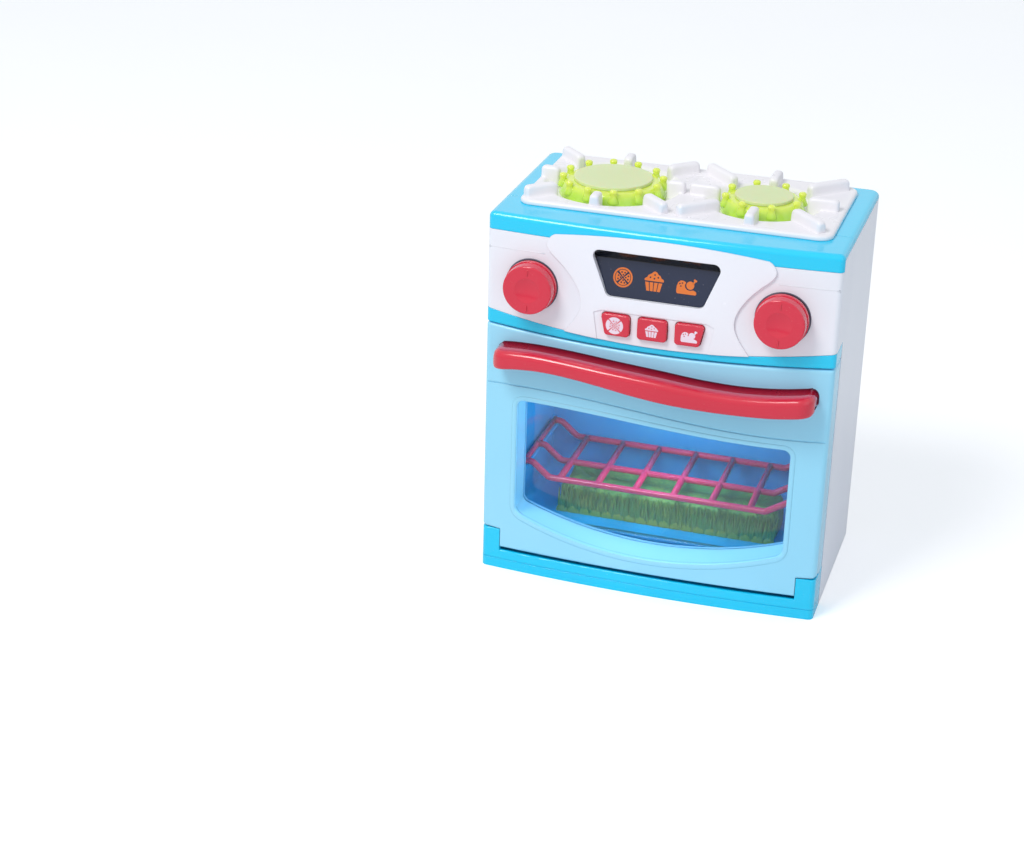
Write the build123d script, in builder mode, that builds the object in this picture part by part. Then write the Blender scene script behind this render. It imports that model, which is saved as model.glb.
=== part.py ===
from build123d import *
import os
from math import cos, pi, radians, sin

# Toy oven: a battery-lit play cooker with two burners on its hob, a control panel with three
# push keys and two knobs, and a drop-down glazed door before a blue oven with a rack in it.
# Millimetres. X runs to the right seen from the front, Y to the back and Z up. The origin is
# the middle of the base, on the table.

# ---------------------------------------------------------------- body and its front
body_width = 220.0
body_depth = 132.0
body_height = 244.4  # top of the deck
front_bow = 5.4  # how far the middle of the front stands out before its ends
corner_radius = 3.5
rear_corner_radius = 6.0
wall = 2.4
seam = 0.15  # gap between pieces that are fixed to each other
screw_fit = 0.05  # gap round a screw's thread or a pressed pin
gap = 0.35  # gap round pieces that move
face_depth = 22.0  # depth of the door, and of the strip and the plinth round it
seam_depth = 34.0  # where the front and rear housings meet

half_width = body_width / 2
front_y = -body_depth / 2
rear_y = body_depth / 2
seam_y = front_y + seam_depth
past = 1.0  # how far a cutter runs past what it cuts
front_view = Plane(origin=(0, front_y, 0), x_dir=(1, 0, 0), z_dir=(0, -1, 0))

# ---------------------------------------------------------------- deck, panel and strip
deck_thickness = 4.0
deck_edge_radius = 3.4
lip_bottom = 233.6  # lower edge of the deck's front lip
lip_thickness = 3.2
deck_underside = body_height - deck_thickness
panel_low_side = 182.0  # lower edge of the white panel at the sides
panel_low_middle = 172.0  # and in the middle
strip_low_side = 172.8
strip_low_middle = 168.1
strip_thickness = 3.0
panel_x = -1.8  # middle of the panel's knobs, keys and display
fascia_raise = 1.25  # thickness of the plate laid on the middle of the panel
fascia_top_middle = 240.6
fascia_edge = [  # the plate's right edge from its top corner down, across and up
    (66.0, 236.5), (69.5, 233.8), (71.1, 230.2), (64.7, 221.2),
    (53.5, 209.1), (47.9, 194.2), (53.7, 180.6), (60.5, 171.5),
]

# ---------------------------------------------------------------- display
display_half_top = 41.2
display_half_low = 29.8
display_low = 201.8
display_high = 230.8
display_corner = 4.0
display_break_height = 224.6  # where the sloping hood meets the face
display_break_depth = 5.2
display_foot_depth = 1.0
display_back_depth = 8.0
display_flange = 3.0
display_lamp_pitch = 19.7
display_lamp_height = 213.8
display_lamp_radius = 2.5

# ---------------------------------------------------------------- keys
key_low = 177.5
key_high = 191.3
key_half = 9.2
key_pitch = 23.4
key_slant = 3.0  # how much narrower the outer keys are at the foot
key_corner = 2.2
key_stand = 2.4  # how far a key stands out of the fascia
key_travel = 1.2
key_flange = 1.6
key_flange_thickness = 1.2
key_edge_radius = 0.7
key_field_margin = 5.0
key_field_sink = 0.4
key_stem_radius = 2.5

# ---------------------------------------------------------------- knobs
knob_x = 78.3
knob_height = 201.3
knob_face_depth = 14.2  # how far the knob's face stands before the ends of the front
knob_foot_depth = 4.5
knob_radius = 15.9
knob_face_radius = 15.5
knob_flange_radius = 16.4
knob_flange_thickness = 2.4
knob_dish_radius = 8.0
knob_dish_depth = 1.3
knob_dish_curve = 0.75  # share of the dish's depth halfway out
knob_mark_width = 1.1
knob_mark_length = 3.4
knob_mark_raise = 0.5
knob_shaft_radius = 3.5
shaft_clearance = 0.08
knob_boss_radius = 6.5
knob_boss_depth = 8.0  # depth of the panel's bearing for the shaft
knob_washer_radius = 7.0
knob_washer_thickness = 1.2
screw_shank_radius = 1.2
screw_head_radius = 2.8
screw_head_height = 1.4
screw_recess_radius = 0.9

# ---------------------------------------------------------------- door
door_low = 15.1
door_top_gap = 1.2
door_wall = 2.2
door_rim_radius = 1.8
door_cover_thickness = 2.0
door_cover_low = 20.0
door_cover_inset = 1.2
door_rear_gap = 0.8  # room behind the door for its foot to swing
door_screw_x = 101.5
door_screw_heights = (42.0, 148.0)
door_boss_radius = 3.4
pane_thickness = 1.5
pane_overlap = 4.0
window_half = 88.0
window_high = 118.9
window_wave = 3.4
window_low_side = 42.5
window_low_middle = 25.5
window_corner = 5.0
wave_reach = 77.0  # half the length of the door's wave, crest to trough
groove_height = 127.3
groove_wave = 4.8
groove_width = 0.9
groove_sink = 0.5
hinge_depth = 4.2
hinge_height = 23.6
hinge_pin_radius = 2.0
hinge_boss_width = 8.0
hinge_boss_radius = 3.6
hinge_pin_length = 15.0
pin_clearance = 0.08
block_high = 28.2  # top of the plinth's hinge blocks
block_inner = 97.7  # inner face of each block
block_relief_radius = 7.4
plinth_high = 13.0
plinth_wall = 1.9
plinth_edge_radius = 0.8
plinth_groove_height = 6.5
plinth_groove_width = 0.5
plinth_groove_sink = 0.35
door_foot_radius = 3.0  # round of the door's lower back edge, so that it clears as it turns
plinth_shelf_high = 9.6  # the plinth behind its front wall, below the door's swing

# ---------------------------------------------------------------- door handle
handle_half = 101.5
handle_upper_line = [  # the edge where its top meets the door, from left to right
    (-101.5, 159.9), (-88.0, 161.2), (-72.0, 161.7), (-50.0, 160.9), (-25.0, 159.1),
    (4.0, 157.0), (30.0, 154.7), (55.0, 153.8), (78.0, 155.1), (101.5, 158.4),
]
handle_lower_line = [
    (-101.5, 147.6), (-82.6, 150.5), (-66.0, 151.4), (-48.0, 150.4), (-28.8, 148.1),
    (-9.6, 145.3), (12.0, 143.0), (34.0, 142.0), (61.0, 142.0), (80.0, 142.9), (101.5, 145.6),
]
handle_stand = 18.0  # its front before the door
handle_wall = 3.0
handle_end = 12.5  # length of each solid end
handle_corner_radius = 9.0  # round of each end, seen from above
handle_upper_radius = 3.0
handle_lower_radius = 1.2
handle_screw_x = 95.0
handle_screw_middle = 152.8
handle_screw_rise = 1.8  # the left screw above the middle, the right one below it
handle_screw_tip = -10.0

# ---------------------------------------------------------------- oven
cavity_half = 94.0
cavity_low = 28.0
cavity_high = 127.0
cavity_corner = 5.0
cavity_rear_depth = 106.0
liner_wall = 1.6
liner_flange = 3.4
ledge_width = 6.0
ledge_height = 64.2
ledge_thickness = 2.0
rack_rod_radius = 1.6
rack_bar_radius = 1.45
rack_side_radius = 1.8
rack_low = 56.3
rack_ramp_low_x = 74.0
rack_ramp_high_x = 85.5
rack_side_x = 90.5
rack_side_overhang = 3.0
rack_rail_depths = (29.0, 57.0, 97.0)
rack_bar_pitch = 25.3
rack_bar_count = 6
garnish_half = 72.0
garnish_front_depth = 38.0
garnish_rear_depth = 82.0
garnish_height = 20.0
garnish_lobes = 11
garnish_lobe_depth = 1.6
garnish_corner = 7.0
lamp_radius = 5.0
lamp_height = 4.0
lamp_y = 0.0

# ---------------------------------------------------------------- hob and burners
hob_half = 98.0
hob_front_depth = 19.7
hob_rear_depth = 121.8
hob_corner = 9.0
hob_rim_height = 3.3  # above the deck
hob_well_inset = 3.6
hob_floor = 241.5  # bottom of the dish under each burner
hob_floor_thickness = 1.8
hob_edge_radius = 2.0
hob_lip_drop = 3.0  # how far the tray's lip reaches into the deck
dish_foot = 2.4  # flat of a dish round its crown
dish_spread = 7.2  # how much wider a dish is at its top
dish_wall_run = 2.7  # thickness of a dish's slope, measured level
burner_left_x = -50.2
burner_right_x = 46.6
burner_depth = 70.2
left_crown_radius = 34.2
right_crown_radius = 26.8
left_cap_radius = 24.8
right_cap_radius = 18.2
left_peg_count = 12
right_peg_count = 8
crown_shoulder = 2.6  # how much the crown narrows to its shoulder
crown_shoulder_height = 7.2
crown_height = 9.2
crown_wall = 1.6
cap_height = 11.3  # top of the cap above the hob's floor
cap_thickness = 1.9
cap_plug_drop = 2.4
plug_radius = 8.0
peg_radius = 2.2
peg_tip_radius = 1.9
peg_low = 4.0
peg_high = 12.4
peg_inset = 2.6
left_peg_offset = 15.0  # degrees
right_peg_offset = 22.5
arm_straight_stand = 0.8  # gap from the crown to an arm square to the tray
arm_slant_stand = 6.4  # gap from the crown to an arm toward a corner
arm_high = 13.2  # top of the arms above the bottom of the dish
arm_inner_drop = 2.4  # how much an arm's inner end is lower than its top
arm_outer_drop = 1.4
arm_inner_run = 4.0  # length of the slope at an arm's inner end
arm_outer_run = 3.0
arm_straight_reach = 47.0
arm_slant_reach = 63.0
arm_width = 6.4
arm_edge_radius = 1.8
arm_side_inset = 1.2  # from the tray's edge to the end of an arm
arm_count = 8  # round each burner
side_face_share = 0.9  # how square to an axis a face is to count as its side
burner_lamp_radius = 2.5
burner_lamp_height = 7.0
lamp_board_side = 14.0
board_thickness = 1.6

# ---------------------------------------------------------------- electrics and the back
cell_radius = 7.1
cell_length = 50.0
cell_pitch = 15.0
cell_count = 3
cell_nub_radius = 2.7
cell_nub_length = 1.2
cell_middle = 80.0
battery_wall = 1.6
contact_room = 3.2
contact_thickness = 0.5
contact_side = 10.0
contact_wide_radius = 4.3
cover_margin = 1.4
cover_screw_rise = 6.0
cover_rib_count = 6
cover_rib_pitch = 5.0
cover_rib_sink = 0.5
switch_x = 70.0
switch_height = 176.0
switch_travel = 4.0
switch_knob_length = 7.0
switch_knob_height = 4.2
switch_body_length = 19.0
switch_body_height = 9.0
switch_body_depth = 7.0
switch_flange_length = 9.0
switch_flange_height = 6.2
switch_flange_thickness = 1.6
speaker_x = -45.0
speaker_radius = 19.0
speaker_ring_wall = 1.6
speaker_ring_height = 4.0
speaker_height = 176.0
speaker_depth = 7.5
speaker_magnet_radius = 9.5
speaker_rim = 2.5
speaker_hole_radius = 1.3
speaker_hole_pitch = 5.2
grille_share = 0.7  # of the speaker's radius that has sound holes
circuit_half = 55.0
circuit_low = 178.5
circuit_high = 229.0
circuit_depth = 13.0
circuit_post_radius = 2.6
circuit_post_x = 51.5
circuit_post_low = 182.0
circuit_post_high = 225.5
key_switch_side = 6.0
key_switch_height = 3.4
key_switch_stem = 1.0
key_switch_stem_radius = 1.6
housing_screw_x = 103.2
housing_screw_heights = (20.0, 120.0, 215.0)
housing_boss_radius = 4.6
housing_well_radius = 3.4
housing_boss_floor = 3.0


# ---------------------------------------------------------------- outlines
def body_plan(inset, rear):
    """Plan of the body: bowed front and two sides drawn in by inset, flat at rear."""
    half = half_width - inset
    front = front_y + inset
    with BuildSketch() as plan:
        with BuildLine():
            ThreePointArc((-half, front), (0, front - front_bow), (half, front))
            Polyline((half, front), (half, rear), (-half, rear), (-half, front))
        make_face()
        corners = plan.vertices().group_by(Axis.Y)[0]
        fillet(corners, max(corner_radius - inset, corner_radius / 4))
    return plan.sketch


def bow_band(near, far):
    """Plan of a curved slab from near to far behind the bowed front."""
    with BuildSketch() as band:
        with BuildLine():
            front = ThreePointArc(
                (-half_width, front_y + near),
                (0, front_y - front_bow + near),
                (half_width, front_y + near),
            )
            back = ThreePointArc(
                (-half_width, front_y + far),
                (0, front_y - front_bow + far),
                (half_width, front_y + far),
            )
            Line(front @ 0, back @ 0)
            Line(front @ 1, back @ 1)
        make_face()
    return band.sketch


def cut_to_outline(plan, outline):
    """Upright prism on a plan, cut to an outline drawn as seen from the front."""
    with BuildPart() as prism:
        with BuildSketch():
            add(plan)
        extrude(amount=body_height + deck_thickness)
        with BuildSketch(front_view):
            add(outline)
        extrude(amount=body_depth, both=True, mode=Mode.INTERSECT)
    return prism.part


def above_smile(side, middle, high):
    """Front view from a smile-shaped lower edge up to a level upper edge."""
    half = half_width + past
    with BuildSketch() as face:
        with BuildLine():
            ThreePointArc((-half, side), (0, middle), (half, side))
            Polyline((half, side), (half, high), (-half, high), (-half, side))
        make_face()
    return face.sketch


def below_smile(side, middle, low):
    """Front view from a level lower edge up to a smile-shaped upper edge."""
    half = half_width + past
    with BuildSketch() as face:
        with BuildLine():
            ThreePointArc((-half, side), (0, middle), (half, side))
            Polyline((half, side), (half, low), (-half, low), (-half, side))
        make_face()
    return face.sketch


def level_band(low, high, half):
    """Front view of a plain rectangle between two heights."""
    with BuildSketch() as face:
        with Locations((0, (low + high) / 2)):
            Rectangle(2 * half, high - low)
    return face.sketch


def wave_height(x, middle, rise):
    """Height of the door's wave at x: a crest on the left and a trough on the right."""
    return middle - rise * sin(pi * x / (2 * wave_reach))


def wave_points(half, middle, rise, steps=10):
    """Points of the wave from -half to half."""
    stations = [half * (2 * i / steps - 1) for i in range(steps + 1)]
    return [(x, wave_height(x, middle, rise)) for x in stations]


def wave_band(half, middle, rise, width):
    """Front view of a band that follows the wave."""
    with BuildSketch() as band:
        with BuildLine():
            top = Spline(wave_points(half, middle + width / 2, rise))
            low = Spline(wave_points(half, middle - width / 2, rise))
            Line(low @ 0, top @ 0)
            Line(low @ 1, top @ 1)
        make_face()
    return band.sketch


def window_outline(grow=0.0):
    """Front view of the window, wider all round by grow."""
    half = window_half + grow
    slope = 2 * (window_low_side - window_low_middle) / window_half
    low_side = window_low_side + grow * (slope - 1)
    with BuildSketch() as window:
        with BuildLine():
            top = Spline(wave_points(half, window_high + grow, window_wave))
            low = ThreePointArc(
                (-half, low_side), (0, window_low_middle - grow), (half, low_side)
            )
            Line(low @ 0, top @ 0)
            Line(low @ 1, top @ 1)
        make_face()
        fillet(window.vertices(), window_corner + grow)
    return window.sketch


def display_outline(grow=0.0):
    """Front view of the display: a trapezium, wider at the top."""
    with BuildSketch() as display:
        with BuildLine():
            Polyline(
                (panel_x - display_half_low, display_low),
                (panel_x + display_half_low, display_low),
                (panel_x + display_half_top, display_high),
                (panel_x - display_half_top, display_high),
                close=True,
            )
        make_face()
        fillet(display.vertices(), display_corner)
        if grow:
            offset(amount=grow)
    return display.sketch


def key_outline(side, grow=0.0):
    """Front view of a key: -1 left, 0 middle, 1 right. The outer ones slant inwards below."""
    middle = panel_x + side * key_pitch
    left_slant = key_slant if side < 0 else 0.0
    right_slant = key_slant if side > 0 else 0.0
    with BuildSketch() as key:
        with BuildLine():
            Polyline(
                (middle - key_half + left_slant, key_low),
                (middle + key_half - right_slant, key_low),
                (middle + key_half, key_high),
                (middle - key_half, key_high),
                close=True,
            )
        make_face()
        fillet(key.vertices(), key_corner)
        if grow:
            offset(amount=grow)
    return key.sketch


def key_field_outline():
    """Front view of the sunk field round the keys."""
    top = key_pitch + key_half + key_field_margin
    with BuildSketch() as field:
        with BuildLine():
            Polyline(
                (panel_x - top + key_slant, panel_low_middle - past),
                (panel_x + top - key_slant, panel_low_middle - past),
                (panel_x + top, key_high - past),
                (panel_x + top - key_field_margin, key_high + past),
                (panel_x - top + key_field_margin, key_high + past),
                (panel_x - top, key_high - past),
                close=True,
            )
        make_face()
    return field.sketch


def fascia_outline():
    """Front view of the middle plate: waisted sides, bowed top and the panel's lower edge."""
    with BuildSketch() as plate:
        with BuildLine():
            right = Spline(fascia_edge)
            left = Spline([(-x, z) for x, z in fascia_edge])
            ThreePointArc(left @ 0, (0, fascia_top_middle), right @ 0)
            Line(left @ 1, right @ 1)
        make_face()
        add(above_smile(panel_low_side, panel_low_middle, body_height), mode=Mode.INTERSECT)
    return plate.sketch


def upright_rod(x, y, low, high, radius):
    """Cylinder along Z."""
    with BuildPart() as rod:
        with BuildSketch(Plane.XY.offset(low)):
            with Locations((x, y)):
                Circle(radius)
        extrude(amount=high - low)
    return rod.part


def depth_rod(x, z, near, far, radius):
    """Cylinder along Y, from near to far behind the ends of the front."""
    with BuildPart() as rod:
        with BuildSketch(front_view.offset(-near)):
            with Locations((x, z)):
                Circle(radius)
        extrude(amount=near - far)
    return rod.part


def depth_block(x, z, width, height, near, far):
    """Box from near to far behind the ends of the front."""
    with BuildPart() as block:
        with BuildSketch(front_view.offset(-near)):
            with Locations((x, z)):
                Rectangle(width, height)
        extrude(amount=near - far)
    return block.part


def screw(x, z, head_depth, tip_depth):
    """Cross-headed screw along Y whose head's outer face is at head_depth."""
    inward = 1 if tip_depth > head_depth else -1
    neck_depth = head_depth + inward * screw_head_height
    with BuildPart() as fastener:
        add(depth_rod(x, z, head_depth, neck_depth, screw_head_radius))
        fillet(
            fastener.faces().sort_by(Axis.Y)[0 if inward > 0 else -1].edges(), screw_head_height / 3
        )
        add(depth_rod(x, z, neck_depth, tip_depth, screw_shank_radius))
        add(
            depth_block(
                x, z, 2 * screw_recess_radius, screw_recess_radius / 2,
                head_depth, head_depth + inward * screw_head_height / 2,
            ),
            mode=Mode.SUBTRACT,
        )
        add(
            depth_block(
                x, z, screw_recess_radius / 2, 2 * screw_recess_radius,
                head_depth, head_depth + inward * screw_head_height / 2,
            ),
            mode=Mode.SUBTRACT,
        )
    return fastener.part


# ---------------------------------------------------------------- front housing
# White shell: the control panel's face and both sides back to the seam, and behind the door a
# flat wall with the oven's mouth in it. The rear housing is screwed to it from behind.
housing_rear = seam_y - seam
housing_high = deck_underside - seam
mouth_depth = face_depth + door_rear_gap  # face of the wall behind the door
neck_depth = lip_thickness + 2 * seam
panel_face = above_smile(panel_low_side, panel_low_middle, lip_bottom - seam)
neck_low = lip_bottom - seam - wall
panel_room = above_smile(panel_low_side + wall, panel_low_middle + wall, neck_low)
strip_backing = above_smile(strip_low_side + seam, strip_low_middle + seam, panel_low_side + wall)
strip_room = above_smile(
    strip_low_side + seam + wall, strip_low_middle + seam + wall, panel_low_side + 2 * wall
)


def handle_screw_height(side):
    """Height of one of the handle's two screws."""
    return handle_screw_middle - side * handle_screw_rise


def bow_at(x, inset=0.0):
    """Depth of the bowed front at x, or of a face set in from it: nothing at the ends."""
    return -front_bow * (1 - (x / (half_width - inset)) ** 2)


def cavity_outline(grow=0.0):
    """Front view of the oven's mouth."""
    with BuildSketch() as mouth:
        with Locations((0, (cavity_low + cavity_high) / 2)):
            Rectangle(2 * (cavity_half + grow), cavity_high - cavity_low + 2 * grow)
        fillet(mouth.vertices(), cavity_corner + grow)
    return mouth.sketch


with BuildPart() as front_housing:
    add(cut_to_outline(body_plan(0, housing_rear), panel_face))
    add(cut_to_outline(body_plan(strip_thickness + seam, housing_rear), strip_backing))
    add(depth_block(0, housing_high / 2, body_width, housing_high, mouth_depth, seam_depth - seam))
    add(depth_block(
        0, (neck_low + housing_high) / 2, body_width, housing_high - neck_low,
        neck_depth, seam_depth - seam,
    ))
    # hollow behind the panel, the strip and the neck
    add(cut_to_outline(body_plan(wall, seam_y), panel_room), mode=Mode.SUBTRACT)
    add(cut_to_outline(body_plan(strip_thickness + seam + wall, seam_y), strip_room),
        mode=Mode.SUBTRACT)
    add(depth_block(
        0, (neck_low + body_height) / 2, body_width - 2 * wall, body_height - neck_low,
        neck_depth + wall, seam_depth,
    ), mode=Mode.SUBTRACT)
    # hollow behind the wall round the oven's mouth
    add(depth_block(
        0, strip_low_middle / 2, body_width - 2 * wall, strip_low_middle - 2 * wall,
        mouth_depth + wall, seam_depth,
    ), mode=Mode.SUBTRACT)
    with BuildSketch(front_view):
        add(cavity_outline())
    extrude(amount=-seam_depth, mode=Mode.SUBTRACT)
    # bearings for the knobs and posts for the circuit board
    for side in (-1, 1):
        add(depth_rod(
            panel_x + side * knob_x, knob_height, bow_at(knob_x) + wall / 2, knob_boss_depth,
            knob_boss_radius,
        ))
        for post_height in (circuit_post_low, circuit_post_high):
            add(depth_rod(
                side * circuit_post_x, post_height, bow_at(circuit_post_x) + wall / 2,
                circuit_depth - seam, circuit_post_radius,
            ))
        for screw_height in housing_screw_heights:
            add(depth_rod(
                side * housing_screw_x, screw_height,
                mouth_depth + wall / 2, seam_depth - seam, housing_boss_radius,
            ))
    # holes: shafts, screws, display and keys
    for side in (-1, 1):
        add(depth_rod(
            panel_x + side * knob_x, knob_height, -2 * front_bow, knob_boss_depth + past,
            knob_shaft_radius + shaft_clearance,
        ), mode=Mode.SUBTRACT)
        for screw_height in housing_screw_heights:
            add(depth_rod(
                side * housing_screw_x, screw_height, mouth_depth + wall, seam_depth,
                screw_shank_radius + screw_fit,
            ), mode=Mode.SUBTRACT)
    with BuildSketch(front_view):
        add(display_outline(seam))
        for side in (-1, 0, 1):
            add(key_outline(side, gap))
    extrude(amount=2 * front_bow, both=True, mode=Mode.SUBTRACT)

# ---------------------------------------------------------------- rear housing
# White box, open at the front and the top: sides, floor and back, with the speaker's grille,
# the switch's slot, the battery hatch and six screw wells in the back.
cover_half_x = cell_length / 2 + contact_room + cover_margin
cover_half_z = cell_pitch * cell_count / 2 + cover_margin
rear_wall_depth = body_depth - wall
slot_length = switch_knob_length + switch_travel + 2 * gap


def rear_plan(inset, front):
    """Plan of the rear housing, with its two back corners rounded."""
    with BuildSketch() as plan:
        with Locations((0, (front + rear_y - inset) / 2)):
            Rectangle(body_width - 2 * inset, rear_y - inset - front)
        fillet(plan.vertices().group_by(Axis.Y)[-1], rear_corner_radius - inset)
    return plan.sketch


def grille_places():
    """Places of the speaker's sound holes: rings of holes in a triangular grid."""
    rings = int(speaker_radius * grille_share / speaker_hole_pitch)
    places = []
    for row in range(-rings, rings + 1):
        count = 2 * rings + 1 - abs(row)
        for step in range(count):
            x = (step - (count - 1) / 2) * speaker_hole_pitch
            places.append((x, row * speaker_hole_pitch * sin(pi / 3)))
    return places


with BuildPart() as rear_housing:
    with BuildSketch():
        add(rear_plan(0, seam_y))
    extrude(amount=housing_high)
    with BuildSketch(Plane.XY.offset(wall)):
        add(rear_plan(wall, seam_y - past))
    extrude(amount=body_height, mode=Mode.SUBTRACT)
    for side in (-1, 1):
        for screw_height in housing_screw_heights:
            add(depth_rod(
                side * housing_screw_x, screw_height, seam_depth, rear_wall_depth + wall / 2,
                housing_boss_radius,
            ))
    add(depth_rod(
        speaker_x, speaker_height, rear_wall_depth - speaker_ring_height, rear_wall_depth + wall / 2,
        speaker_radius + seam + speaker_ring_wall,
    ))
    add(depth_rod(
        speaker_x, speaker_height, rear_wall_depth - speaker_ring_height - past, rear_wall_depth,
        speaker_radius + seam,
    ), mode=Mode.SUBTRACT)
    for side in (-1, 1):
        for screw_height in housing_screw_heights:
            add(depth_rod(
                side * housing_screw_x, screw_height, seam_depth - past, body_depth,
                screw_shank_radius + seam,
            ), mode=Mode.SUBTRACT)
            add(depth_rod(
                side * housing_screw_x, screw_height, seam_depth + housing_boss_floor,
                body_depth + past, housing_well_radius,
            ), mode=Mode.SUBTRACT)
    with BuildSketch(front_view.offset(-body_depth - past)):
        with Locations((0, cell_middle)):
            Rectangle(2 * cover_half_x, 2 * cover_half_z)
        with Locations((0, cell_middle + cover_half_z)):
            Rectangle(2 * cover_screw_rise, 2 * cover_screw_rise)
        with Locations((switch_x, switch_height)):
            Rectangle(slot_length, switch_knob_height + 2 * gap)
        with Locations((speaker_x, speaker_height)):
            with Locations(*grille_places()):
                Circle(speaker_hole_radius)
    extrude(amount=wall + 2 * past, mode=Mode.SUBTRACT)

with BuildPart() as housing_screws:
    for side in (-1, 1):
        for screw_height in housing_screw_heights:
            head_depth = seam_depth + housing_boss_floor + screw_head_height + seam
            add(screw(
                side * housing_screw_x, screw_height, head_depth, mouth_depth + wall + seam,
            ))

# ---------------------------------------------------------------- deck
# Cyan top in two mouldings that meet over the housings' seam. The front one has a lip down over
# the panel's upper edge. Both are cut out for the hob tray.
hob_length = 2 * hob_half
hob_width = hob_rear_depth - hob_front_depth
hob_y = front_y + (hob_front_depth + hob_rear_depth) / 2


def hob_plan(inset):
    """Plan of the hob tray, drawn in by inset."""
    with BuildSketch() as plan:
        with Locations((0, hob_y)):
            Rectangle(hob_length - 2 * inset, hob_width - 2 * inset)
        fillet(plan.vertices(), hob_corner - inset)
    return plan.sketch


def deck_blank():
    """The whole deck with its rounded upper edge, before it is parted and cut out."""
    with BuildPart() as blank:
        with BuildSketch(Plane.XY.offset(deck_underside)) as plan:
            add(body_plan(0, rear_y))
            fillet(plan.vertices().group_by(Axis.Y)[-1], rear_corner_radius)
        extrude(amount=deck_thickness)
        with BuildSketch(Plane.XY.offset(lip_bottom)):
            add(body_plan(0, front_y + neck_depth - seam))
            add(body_plan(lip_thickness, front_y + neck_depth + past), mode=Mode.SUBTRACT)
        extrude(amount=deck_underside - lip_bottom + deck_thickness / 2)
        fillet(blank.faces().sort_by(Axis.Z)[-1].edges(), deck_edge_radius)
        with BuildSketch(Plane.XY.offset(deck_underside - past)):
            add(hob_plan(hob_well_inset - seam))
        extrude(amount=deck_thickness + 2 * past, mode=Mode.SUBTRACT)
    return blank.part


with BuildPart() as deck_front:
    add(deck_blank())
    split(bisect_by=Plane.XZ.offset(-seam_y + seam / 2), keep=Keep.TOP)

with BuildPart() as deck_rear:
    add(deck_blank())
    split(bisect_by=Plane.XZ.offset(-seam_y - seam / 2), keep=Keep.BOTTOM)

# ---------------------------------------------------------------- strip and plinth
# Cyan strip under the panel: a thin band clipped round the housing's chin.
strip_band = above_smile(strip_low_side, strip_low_middle, panel_low_side + past)
panel_cut = above_smile(panel_low_side - seam, panel_low_middle - seam, body_height)
with BuildPart() as mid_strip:
    with BuildSketch():
        add(body_plan(0, front_y + face_depth - seam))
        add(body_plan(strip_thickness, front_y + face_depth), mode=Mode.SUBTRACT)
    extrude(amount=body_height)
    with BuildSketch(front_view):
        add(strip_band)
        add(panel_cut, mode=Mode.SUBTRACT)
    extrude(amount=body_depth, both=True, mode=Mode.INTERSECT)

door_inner_half = block_inner - gap
pin_inner_x = door_inner_half - hinge_boss_width
pin_outer_x = pin_inner_x + hinge_pin_length


def across(y, z, start, end, radius):
    """Cylinder along X from start to end."""
    with BuildPart() as rod:
        with BuildSketch(Plane.YZ.offset(min(start, end))):
            with Locations((y, z)):
                Circle(radius)
        extrude(amount=abs(end - start))
    return rod.part


# Cyan plinth below the door: a low front wall with a shelf behind it, and a hinge block at each
# end that holds one of the door's pins.
hinge_y = front_y + hinge_depth
block_middle = (block_inner + half_width) / 2
plinth_rear = front_y + face_depth - seam

with BuildPart() as base_plinth:
    with BuildSketch():
        add(body_plan(0, plinth_rear))
    extrude(amount=block_high)
    with BuildSketch(front_view.offset(front_bow + past)):
        add(level_band(plinth_high, block_high + past, block_inner))
    extrude(amount=-body_depth, mode=Mode.SUBTRACT)
    front_top = base_plinth.faces().filter_by(Axis.Z).sort_by(Axis.Z)[-3:]
    top_edges = ShapeList([face.edges().sort_by(Axis.Y)[0] for face in front_top])
    fillet(top_edges, plinth_edge_radius)
    with BuildSketch(Plane.XY.offset(plinth_shelf_high)):
        add(body_plan(plinth_wall, plinth_rear + past))
        with Locations((block_middle, 0), (-block_middle, 0)):
            Rectangle(half_width - block_inner, body_depth + 2 * past, mode=Mode.SUBTRACT)
    extrude(amount=block_high, mode=Mode.SUBTRACT)
    with BuildSketch(Plane.XY.offset(-past)):
        add(body_plan(plinth_wall, plinth_rear - plinth_wall))
    extrude(amount=plinth_shelf_high - plinth_wall + past, mode=Mode.SUBTRACT)
    with BuildSketch(Plane.XY.offset(plinth_groove_height)):
        add(body_plan(-past, plinth_rear + past))
        add(body_plan(plinth_groove_sink, plinth_rear + 2 * past), mode=Mode.SUBTRACT)
    extrude(amount=plinth_groove_width, mode=Mode.SUBTRACT)
    for side in (-1, 1):
        add(across(
            hinge_y, hinge_height, side * door_inner_half, side * (pin_outer_x + gap),
            hinge_pin_radius + pin_clearance,
        ), mode=Mode.SUBTRACT)

# ---------------------------------------------------------------- fascia and display
# White plate laid on the middle of the panel, cut out for the display and the keys.
with BuildPart() as centre_fascia:
    add(cut_to_outline(bow_band(-fascia_raise, -seam), fascia_outline()))
    field = cut_to_outline(
        bow_band(-fascia_raise - past, -fascia_raise + key_field_sink), key_field_outline()
    )
    add(field, mode=Mode.SUBTRACT)
    with BuildSketch(front_view):
        add(display_outline(seam))
        for side in (-1, 0, 1):
            add(key_outline(side, gap))
    extrude(amount=2 * front_bow, both=True, mode=Mode.SUBTRACT)

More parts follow.
